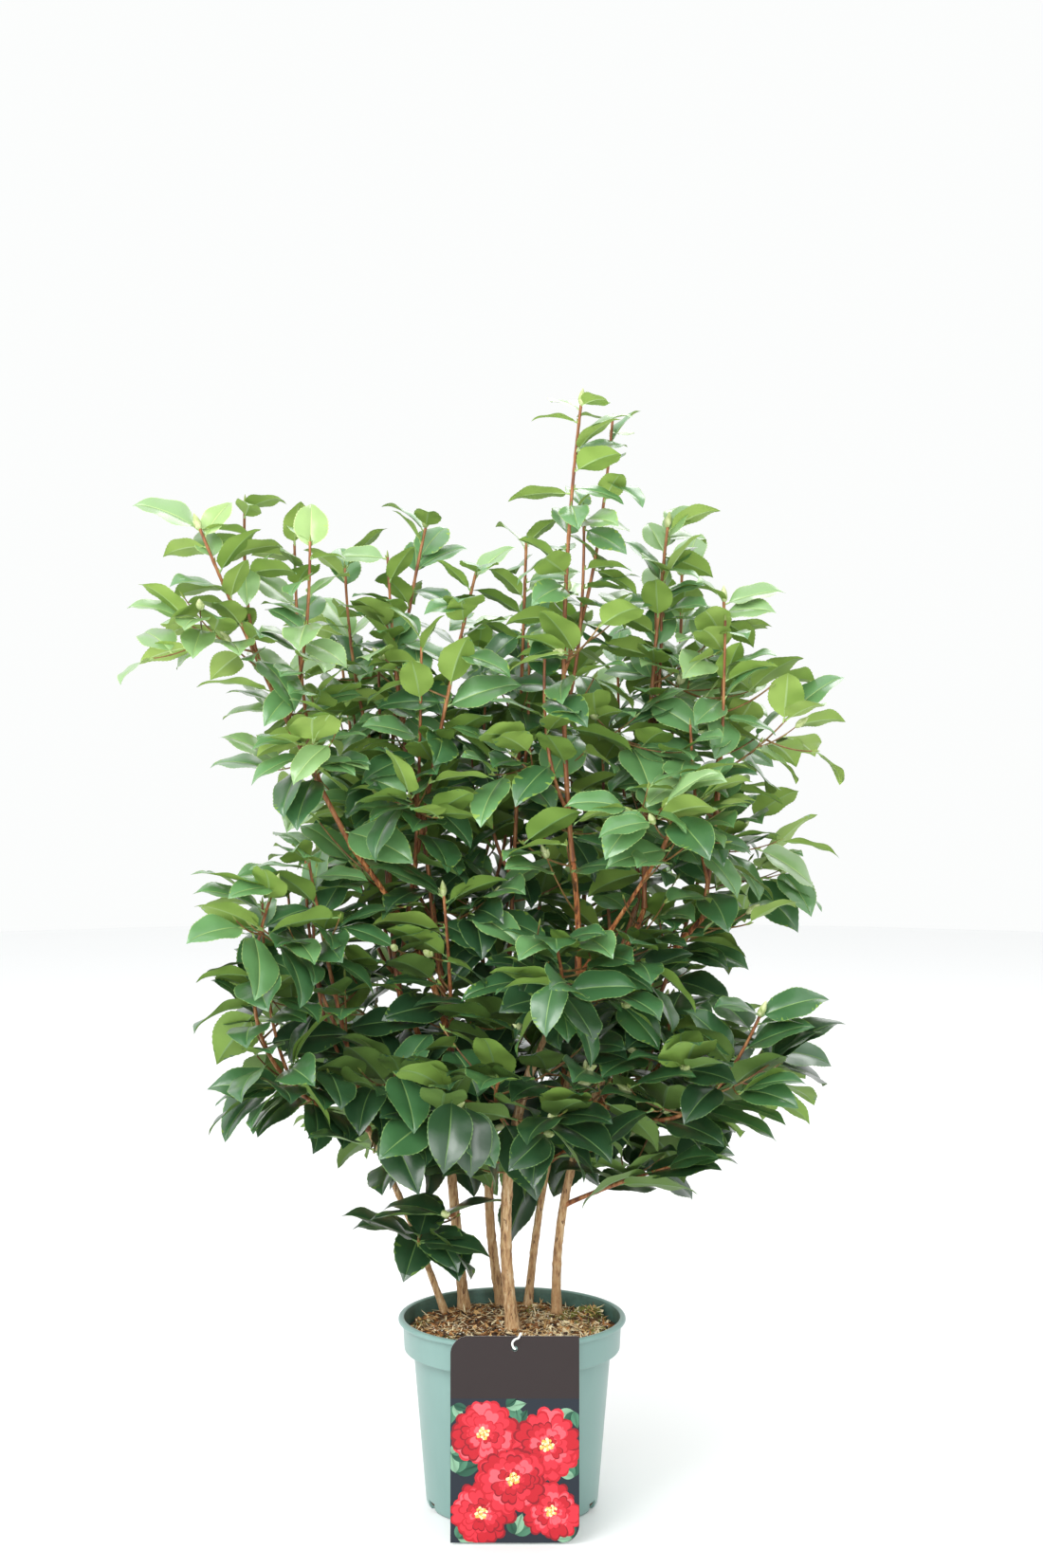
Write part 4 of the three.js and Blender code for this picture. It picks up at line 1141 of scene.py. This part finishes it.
fineSprays = []
for name, (parent, share, waist, tip, bare, twigs, reach, *_, seed) in shoots.items():
    own = [s for s in sprays if s["node"] == name]
    stem = own[0]["limb"]
    draw = draws(seed * 311 + 17)
    made = []
    for i in range(fineRule["twigs"]):
        at = blend(bare + 0.06, 0.9, (i + draw()) / fineRule["twigs"])
        if draw() < wantedAt(stem["curve"](at)) and stem["curve"](at)[2] < fineRule["twigsBelow"]:
            long = reach * among(fineRule["twigReach"], draw())
            made += fineTwig(name, stem, at, long, fineRule["twigThick"], fineRule["twigClimb"], draw)
    for i in range(fineRule["inner"]):
        at = among(fineRule["innerFrom"], (i + draw()) / fineRule["inner"])
        if limbs[parent]["curve"](at)[2] > fineRule["innerAbove"]:
            long = among(fineRule["innerLong"], draw())
            made += fineTwig(name, limbs[parent], at, long, fineRule["twigThick"],
                             fineRule["innerClimb"], draw)
    for spray in own[1:] + made:
        for i in range(fineRule["twiglets"]):
            at = among(fineRule["twigletFrom"], (i + draw()) / fineRule["twiglets"])
            if draw() < wantedAt(spray["limb"]["curve"](at)):
                long = among(fineRule["twigletLong"], draw())
                made += fineTwig(name, spray["limb"], at, long, fineRule["twigletThick"],
                                 fineRule["twigletClimb"], draw)
    upright = [{"node": name, "limb": limb, "main": True, "bare": fineRule["riserBare"], "bud": False,
                "leaves": []} for limb in risers[name]]
    for spray in own + upright:
        limb = spray["limb"]
        tops = [0.995, 0.96]
        if spray["main"]:
            tops += list(np.arange(0.93, fineRule["topFrom"], -fineRule["topGap"] / limb["long"]))
        for at in tops:
            leaf = fineLeaf(limb, at, draw, at > 0.95, reaches[name], onTop=True)
            if leaf:
                spray["leaves"].append(leaf)
        slots = max(2, round(limb["long"] / fineRule["leafGap"]))
        for i in range(slots):
            at = blend(max(spray["bare"], 0.08), 0.97, (i + 0.5) / slots)
            taken = any(abs(leaf["at"] - at) * limb["long"] < fineRule["apart"] for leaf in spray["leaves"])
            if draw() < wantedAt(limb["curve"](at)) and not taken:
                leaf = fineLeaf(limb, at, draw, False, reaches[name])
                if leaf:
                    spray["leaves"].append(leaf)
    fineSprays += upright + made
sprays += fineSprays
print("with the finer growth: sprays", len(sprays), "leaves", sum(len(s["leaves"]) for s in sprays))


# Bark of the stems and boughs.
barkShape = {
    "ringGap": 2.4, "crackWidth": 0.13, "knot": 0.6, "knotEvery": 45,
    "stem": {"sides": 26, "crack": 0.55, "fine": 0.24, "roughness": 0.8},
    "bough": {"sides": 22, "crack": 0.42, "fine": 0.16, "roughness": 0.68, "foot": (0.3, 7)},
}


# A limb with cracks along it, small knots, a flared foot and a rounded end.
def barkChunk(name, kind):
    limb, shape = limbs[name], barkShape[kind]
    crack, fine = shape["crack"], shape["fine"]
    steps = max(12, int(limb["long"] / barkShape["ringGap"]))
    shares = np.linspace(0, 1, steps + 1)
    points = np.array([limb["curve"](t) for t in shares])
    away = np.concatenate([[0], np.cumsum(np.linalg.norm(np.diff(points, axis=0), axis=1))])
    radii = np.array([among(limb["thick"], t) / 2 for t in shares])
    gain, fade = shape.get("foot", (stemFoot["gain"], stemFoot["fade"]))
    radii *= 1 + gain * np.exp(-away / fade)
    rng = random.Random(name)
    for _ in range(max(2, int(limb["long"] / barkShape["knotEvery"]))):
        at = rng.uniform(0.05, 0.95) * away[-1]
        radii += barkShape["knot"] * rng.uniform(0.4, 1) * np.exp(-((away - at) / 2.4) ** 2)
    radii[-1] *= 0.72
    shift = rng.uniform(0, 50)

    def relief(ring, angle):
        x, y, z = math.cos(angle), math.sin(angle), away[ring]
        split = noise.noise(Vector((x * 1.9, y * 1.9, z / 16 + shift)))
        close = Vector((x * 4.2, y * 4.2, z / 5 + shift))
        return (-crack * math.exp(-(split / barkShape["crackWidth"]) ** 2) + fine * noise.noise(close)
                + 0.25 * crack * noise.noise(close * 2.3))

    return tubeChunk(points, radii, shape["sides"], relief=relief)


# Cracked bark: streaks along the limb, paler and darker areas, and fine dark splits.
def barkSkin(name, shape, roughness):
    material, tree, shader = skin(name, shape["tan"], roughness)
    long, black, white = shape["stretch"], (0, 0, 0, 1), (1, 1, 1, 1)
    streaks = noiseOf(tree, shape["streaks"], 4, 0.62, stretch=(1, 1, long))
    tint = ramped(tree, streaks, [(0.36, shape["dark"]), (0.45, shape["brown"]), (0.55, shape["tan"]),
                                  (0.68, shape["pale"])])
    patches = ramped(tree, noiseOf(tree, 34, 4, 0.6), [(0.44, black), (0.66, white)])
    tint = mixed(tree, patches, tint, mixed(tree, 0.55, tint, shape["brown"]))
    thin = noiseOf(tree, shape["streaks"] * 0.9, 4, 0.55, stretch=(1, 1, long * 1.6))
    splits = ramped(tree, thin, [(shape["split"] - 0.04, white), (shape["split"], black)])
    tree.links.new(mixed(tree, splits, tint, shape["dark"]), shader.inputs["Base Color"])
    tree.links.new(spread(tree, streaks, roughness - 0.08, roughness + 0.1), shader.inputs["Roughness"])
    ridges = bumped(tree, shader, streaks, 0.8, 0.0016)
    bumped(tree, shader, noiseOf(tree, 900, 5, 0.7), 0.4, 0.0005, ridges)
    return material


stemTones = {"tan": srgb(200, 166, 122), "brown": srgb(178, 138, 96), "dark": srgb(118, 86, 60),
             "pale": srgb(216, 192, 156), "streaks": 340, "stretch": 0.2, "split": 0.37}
boughTones = {"tan": srgb(198, 130, 74), "brown": srgb(164, 96, 52), "dark": srgb(96, 54, 32),
              "pale": srgb(224, 176, 122), "streaks": 420, "stretch": 0.14, "split": 0.4}
for kind, names, tones in (("stem", stems, stemTones), ("bough", boughs, boughTones)):
    bark = barkSkin(f"{kind}Bark", tones, barkShape[kind]["roughness"])
    pieces = [barkChunk(name, kind) for name in names]
    finished(joinedMesh(f"{kind}s_bark", pieces, [bark], sharp=80), "bark", *names)
print("bark on stems and boughs")


# Leaves.
bladeShape = {
    "rows": 15, "innerRows": 9, "innerReach": 105,    # fewer rows on the leaves near the crown's axis
    "stalk": 0.085,                     # share of the length that is the stalk
    "columns": (0, 0.032, 0.5, 0.98), "underColumns": (0, 0.06),
    "tooth": 0.8, "wave": 0.06, "thick": 0.36, "rib": 0.7, "stalkRadii": (1.15, 0.95, 0.9, 0.5),
    "outline": [(0, 0.04), (0.04, 0.26), (0.1, 0.54), (0.18, 0.79), (0.29, 0.97), (0.4, 1.0), (0.52, 0.965),
                (0.65, 0.84), (0.75, 0.66), (0.83, 0.46), (0.89, 0.29), (0.95, 0.13), (1, 0)],
}
leafTones = {
    "deep": {"top": srgb(36, 70, 42), "under": srgb(92, 122, 56), "rib": srgb(98, 130, 76)},
    "dark": {"top": srgb(60, 104, 62), "under": srgb(118, 150, 66), "rib": srgb(118, 152, 90)},
    "mid": {"top": srgb(98, 144, 90), "under": srgb(138, 168, 78), "rib": srgb(148, 178, 110)},
    "fresh": {"top": srgb(136, 172, 114), "under": srgb(152, 180, 90), "rib": srgb(170, 196, 128)},
    "young": {"top": srgb(150, 182, 108), "under": srgb(160, 186, 96), "rib": srgb(186, 206, 140)},
}
toneHeights = [(250, 0.2), (450, 0.7), (700, 1.7), (900, 2.5), (1080, 3.0)]    # height, place among the tones


def leafSkins(tones):
    looks = []
    for name, tone in tones.items():
        top, tree, shader = skin(f"leafTop_{name}", tone["top"], 0.38, 0.6, coat=0.8, coatRoughness=0.26)
        veins = bumped(tree, shader, veinHeight(tree), 0.25, 0.0005)
        bumped(tree, shader, noiseOf(tree, 80, 2, 0.5), 0.25, 0.0018, veins)
        under, tree, shader = skin(f"leafUnder_{name}", tone["under"], 0.62, 0.35)
        bumped(tree, shader, veinHeight(tree), 0.15, 0.0003)
        looks += [top, under, grained(f"leafRib_{name}", tone["rib"], 0.42, (900, 2), 0.1, 0.0003)]
    return looks


# Side veins in the leaf's own map: across in u, along in v.
def veinHeight(tree):
    def maths(operation, *values):
        return added(tree, "ShaderNodeMath", {"operation": operation}, dict(enumerate(values))).outputs[0]

    place = added(tree, "ShaderNodeUVMap", {"uv_map": "leafMap"})
    split = added(tree, "ShaderNodeSeparateXYZ", inputs={"Vector": place.outputs["UV"]})
    across = maths("ABSOLUTE", maths("SUBTRACT", split.outputs["X"], 0.5))
    along = maths("SUBTRACT", split.outputs["Y"], maths("MULTIPLY", across, 0.42))
    return maths("SMOOTH_MIN", maths("PINGPONG", maths("MULTIPLY", along, 9.0), 0.5), 0.22)


# The blade's half-width along it, with the corners between the outline's points eased.
def smoothOutline():
    fineShares = np.linspace(0, 1, 401)
    width = np.interp(fineShares, *zip(*bladeShape["outline"]))
    kernel = np.hanning(31)
    kernel /= kernel.sum()
    eased = np.convolve(np.pad(width, 15, mode="edge"), kernel, mode="valid")
    eased *= np.clip((1 - fineShares) / 0.04, 0, 1) ** 0.5 * 0.5 + 0.5 * (fineShares < 1)
    return lambda share: np.interp(share, fineShares, eased)


widthAt = smoothOutline()


# Shares along and across of every point of a blade, and its faces, worked out once.
def bladeTemplate(rows):
    inner = np.arange(1, rows) / rows
    points, index = [], {}

    def put(key, along, across, layer):
        index[key] = len(points)
        points.append((along, across, layer))

    put("foot", 0, 0, 0)
    put("tip", 1, 0, 0)
    for j, s in enumerate(inner, 1):
        for k, u in enumerate(bladeShape["columns"]):
            for side in (1, -1) if k else (1,):
                put(("top", j, k, side if k else 0), s, side * u, 1)
        for k, u in enumerate(bladeShape["underColumns"]):
            for side in (1, -1) if k else (1,):
                put(("under", j, k, side if k else 0), s, side * u, -1)
        for side in (1, -1):
            put(("rim", j, side), s, side, 0)
    for j in range(1, rows - 1):
        for side in (1, -1):
            put(("tooth", j, side), (j + 0.66) / rows, side, 2)

    faces, looks = [], []

    def face(corners, look, side):
        ids = [index[c] for c in corners]
        faces.append((ids if side < 0 else ids[::-1]) + [-1] * (4 - len(ids)))
        looks.append(look)

    layers = (("top", bladeShape["columns"], 1, 0, 2), ("under", bladeShape["underColumns"], -1, 1, 1))
    for side in (1, -1):
        for layer, columns, flip, look, edge in layers:
            def col(j, k):
                return (layer, j, k, side if k else 0)
            last, end = len(columns) - 1, rows - 1
            turned = side * flip
            for k in range(last):
                ribbed = 2 if k == 0 else look
                face(["foot", col(1, k + 1), col(1, k)], ribbed, turned)
                face(["tip", col(end, k), col(end, k + 1)], ribbed, turned)
                for j in range(1, end):
                    face([col(j, k), col(j + 1, k), col(j + 1, k + 1), col(j, k + 1)], ribbed, turned)
            face(["foot", ("rim", 1, side), col(1, last)], look, turned)
            face(["tip", col(end, last), ("rim", end, side)], look, turned)
            for j in range(1, end):
                tooth = ("tooth", j, side)
                face([col(j, last), tooth, ("rim", j, side)], edge, turned)
                face([col(j, last), col(j + 1, last), tooth], edge, turned)
                face([col(j + 1, last), ("rim", j + 1, side), tooth], edge, turned)
    return np.array(points, float), np.array(faces), np.array(looks)


outerBlade, innerBlade = bladeTemplate(bladeShape["rows"]), bladeTemplate(bladeShape["innerRows"])


# The fine leaf: a toothed blade, folded along its rib and arched, on its stalk.
def leafChunk(leaf, tone, rng):
    inner = leaf["fine"] and offAxis(leaf["root"]) < bladeShape["innerReach"]
    bladePoints, bladeFaces, bladeLooks = innerBlade if inner else outerBlade
    along, across, layer = bladePoints.T
    stalk, thick, long, half = bladeShape["stalk"], bladeShape["thick"], leaf["long"], leaf["half"]
    phase, lean = rng.uniform(0, 6.28), rng.uniform(-1, 1)
    width = half * widthAt(along)
    u, side = np.abs(across), np.sign(across)
    tooth = np.where(layer == 2, bladeShape["tooth"] * np.clip(width / half * 1.6, 0.25, 1), 0)
    out = across * width + side * tooth
    lift = foldLift(leaf, width, u)
    lift = lift + half * bladeShape["wave"] * u * np.sin(phase + along * 13 + side * 1.3)
    lift = lift - 0.3 * (u < 0.01) * (layer == 1)
    under = thick * (u > 0.01) + (thick + bladeShape["rib"] * (1 - along)) * (u <= 0.01)
    lift = lift - np.where(layer == -1, under, 0)
    dropped = np.clip((along - 0.78) / 0.22, 0, 1)
    lift = lift - long * 0.045 * dropped ** 2
    out = out + long * 0.02 * lean * np.sin(math.pi * along) + long * 0.012 * lean * dropped
    points = onBlade(leaf, stalk + (1 - stalk) * along, out, lift)
    stalkLine = onBlade(leaf, np.linspace(0, stalk * 1.25, 4), 0, -0.35)
    tube = tubeChunk(stalkLine, bladeShape["stalkRadii"], 4)
    return {
        "points": np.vstack([points, tube["points"]]),
        "faces": np.vstack([bladeFaces, np.where(tube["faces"] < 0, -1, tube["faces"] + len(points))]),
        "looks": np.concatenate([bladeLooks + 3 * tone, np.full(len(tube["faces"]), 2 + 3 * tone)]),
        "uv": np.vstack([np.stack([0.5 + 0.5 * across, along], 1), np.full((len(tube["points"]), 2), 0.5)]),
    }


# A leaf's tone: deep in the skirt, fresher with height, youngest at the tips, and darker near the crown's
# axis as painted shade.
def toneOf(leaf, rng):
    height = leaf["root"][2]
    level = np.interp(height, *zip(*toneHeights))
    # The last term is painted shade: leaves near the crown's axis take darker tones.
    level += rng.uniform(-0.5, 0.5) - 1.1 * max(1 - offAxis(leaf["root"]) / 210, 0)
    if leaf["atTip"] and height > 560:
        level += 0.7
    return int(min(max(round(level), 0), len(leafTones) - 1))


leafLooks = leafSkins(leafTones)
groups = {
    "skirt_front": ["skirt_left", "skirt_centre", "skirt_front", "skirt_right"],
    "skirt_back": ["skirt_right_back", "skirt_back", "skirt_left_back"],
    "sprays": [n for n in shoots if n.startswith("spray")],
    "left": ["shoot_left_long", "shoot_far_left", "shoot_left", "shoot_left_inner", "shoot_left_rear"],
    "middle": ["shoot_centre_left", "shoot_centre", "shoot_top"],
    "right": ["shoot_right_inner", "shoot_right", "shoot_right_rear"],
    "back": ["shoot_back_left_inner", "shoot_back_left", "shoot_back", "shoot_back_right"],
}
leafRandom = random.Random(77)
for groupName, members in groups.items():
    chunks = []
    for spray in sprays:
        if spray["node"] in members:
            leafRandom.random()    # every spray starts a draw further on
            chunks += [leafChunk(leaf, toneOf(leaf, leafRandom), leafRandom) for leaf in spray["leaves"]]
    finished(joinedMesh(f"leaves_{groupName}", chunks, leafLooks, sharp=70), "foliage", *members)
print("leaves")


# Twigs.
twigShape = {
    "main": {"sides": 8, "ringGap": 4.6, "fuller": 1.12}, "fine": {"sides": 6, "ringGap": 5.2, "fuller": 1},
    "foot": (0.35, 4), "node": 0.18, "nodeLong": 1.8,
}
shootBark = grained("shootBark", srgb(160, 98, 60), 0.5, (700, 4, 0.55, (1, 1, 0.3)), 0.35, 0.0004,
                    (260, 4, 0.6, (1, 1, 0.16)),
                    [(0.34, srgb(104, 58, 38)), (0.5, srgb(148, 92, 54)), (0.68, srgb(186, 132, 86))])
twigBark = grained("twigBark", srgb(136, 92, 58), 0.5, (800, 3), 0.3, 0.0003, (120, 4),
                   [(0.35, srgb(112, 74, 48)), (0.65, srgb(146, 116, 66))])


def twigChunk(spray):
    limb, shape = spray["limb"], twigShape["main" if spray["main"] else "fine"]
    steps = max(6, int(limb["long"] / shape["ringGap"]))
    shares = np.linspace(0, 1, steps + 1)
    away = shares * limb["long"]
    gain, fade = twigShape["foot"]
    radii = np.array([among(limb["thick"], t) / 2 for t in shares]) * shape["fuller"]
    radii *= 1 + gain * np.exp(-away / fade)
    for leaf in spray["leaves"]:
        offNode = (away - leaf["at"] * limb["long"]) / twigShape["nodeLong"]
        radii *= 1 + twigShape["node"] * np.exp(-offNode ** 2)
    points = np.array([limb["curve"](t) for t in shares])
    return tubeChunk(points, radii, shape["sides"], look=0 if spray["main"] else 1)


twigChunks = [twigChunk(spray) for spray in sprays]
finished(joinedMesh("twigs", twigChunks, [shootBark, twigBark], sharp=80), "foliage", *shoots)
print("twigs")


# Buds.
budShape = {
    "sides": 11, "rings": 10, "clusters": 0.2, "clusterOf": (1, 2, 2, 3),
    "flower": (16.6, 7.6, 4), "beside": (11, 5.8, 3),    # length, thickness, rows of scales
    "atTip": (8.5, 2.5), "atLeaf": (4.6, 1.9), "slimAt": (0, 0.35, 0.75, 1.0), "slim": (0.75, 1.0, 0.6, 0.08),
}


# A pointed oval bud whose scales overlap.
def budChunk(at, ahead, size, rng):
    long, thick, scales = size
    side = unit(np.cross(ahead, (0.3, 0.2, 0.9)))
    other = np.cross(ahead, side)
    sides, rings = budShape["sides"], budShape["rings"]
    turn = rng.uniform(0, 6.28)
    points = []
    for i in range(rings + 1):
        v = i / rings
        radius = thick / 2 * math.sin(math.pi * min(v * 0.94 + 0.05, 1)) ** 0.8 * (1 - 0.25 * v)
        for k in range(sides):
            a = 2 * math.pi * k / sides
            edges = [(n + 1) / (scales + 1) + 0.16 * abs(math.cos(a + turn + n * 1.57))
                     for n in range(scales)]
            reach = radius * (0.84 + 0.07 * sum(v < edge for edge in edges))
            points.append(at + ahead * (v * long) + side * reach * math.cos(a) + other * reach * math.sin(a))
    points += [at, at + ahead * long * 1.02]
    return {"points": np.array(points), "faces": ringFaces(rings + 1, sides), "looks": 0}


def slimBud(at, ahead, size):
    long, thick = size
    line = [at + ahead * long * s for s in budShape["slimAt"]]
    return tubeChunk(line, thick / 2 * np.array(budShape["slim"]), 5, look=1)


budRandom = random.Random(31)
budChunks = []
for spray in sprays:
    limb = spray["limb"]
    tip = limb["curve"](1)
    ahead = unit(tip - limb["curve"](0.95))
    fineCluster = not spray["main"] and spray["leaves"] and budRandom.random() < budShape["clusters"]
    if spray["bud"] or fineCluster:
        budChunks.append(budChunk(tip - ahead * 2.6, ahead, budShape["flower"], budRandom))
        for _ in range(budRandom.choice(budShape["clusterOf"])):
            tilted = unit(ahead + np.array([budRandom.uniform(-0.7, 0.7), budRandom.uniform(-0.7, 0.7), 0.1]))
            budChunks.append(budChunk(tip - ahead * 3, tilted, budShape["beside"], budRandom))
    else:
        budChunks.append(slimBud(tip - ahead * 1.5, ahead, budShape["atTip"]))
    for leaf in spray["leaves"]:
        if leaf["atTip"] and leaf["order"] == 0:
            continue
        onward = unit(limb["curve"](min(leaf["at"] + 0.03, 1)) - limb["curve"](leaf["at"] - 0.03))
        foot = leaf["root"] + leaf["ahead"] * among(limb["thick"], leaf["at"]) / 2 * 0.6
        budChunks.append(slimBud(foot, unit(onward + 0.55 * leaf["ahead"]), budShape["atLeaf"]))
flowerBud = grained("flowerBud", srgb(186, 200, 138), 0.42, (900, 3), 0.2, 0.0003, (160, 3),
                    [(0.35, srgb(158, 176, 104)), (0.68, srgb(214, 220, 170))])
leafBud = grained("leafBud", srgb(132, 150, 74), 0.45, (900, 3), 0.2, 0.0003)
finished(joinedMesh("buds", budChunks, [flowerBud, leafBud], sharp=50), "foliage", *shoots)
print("buds", len(budChunks))
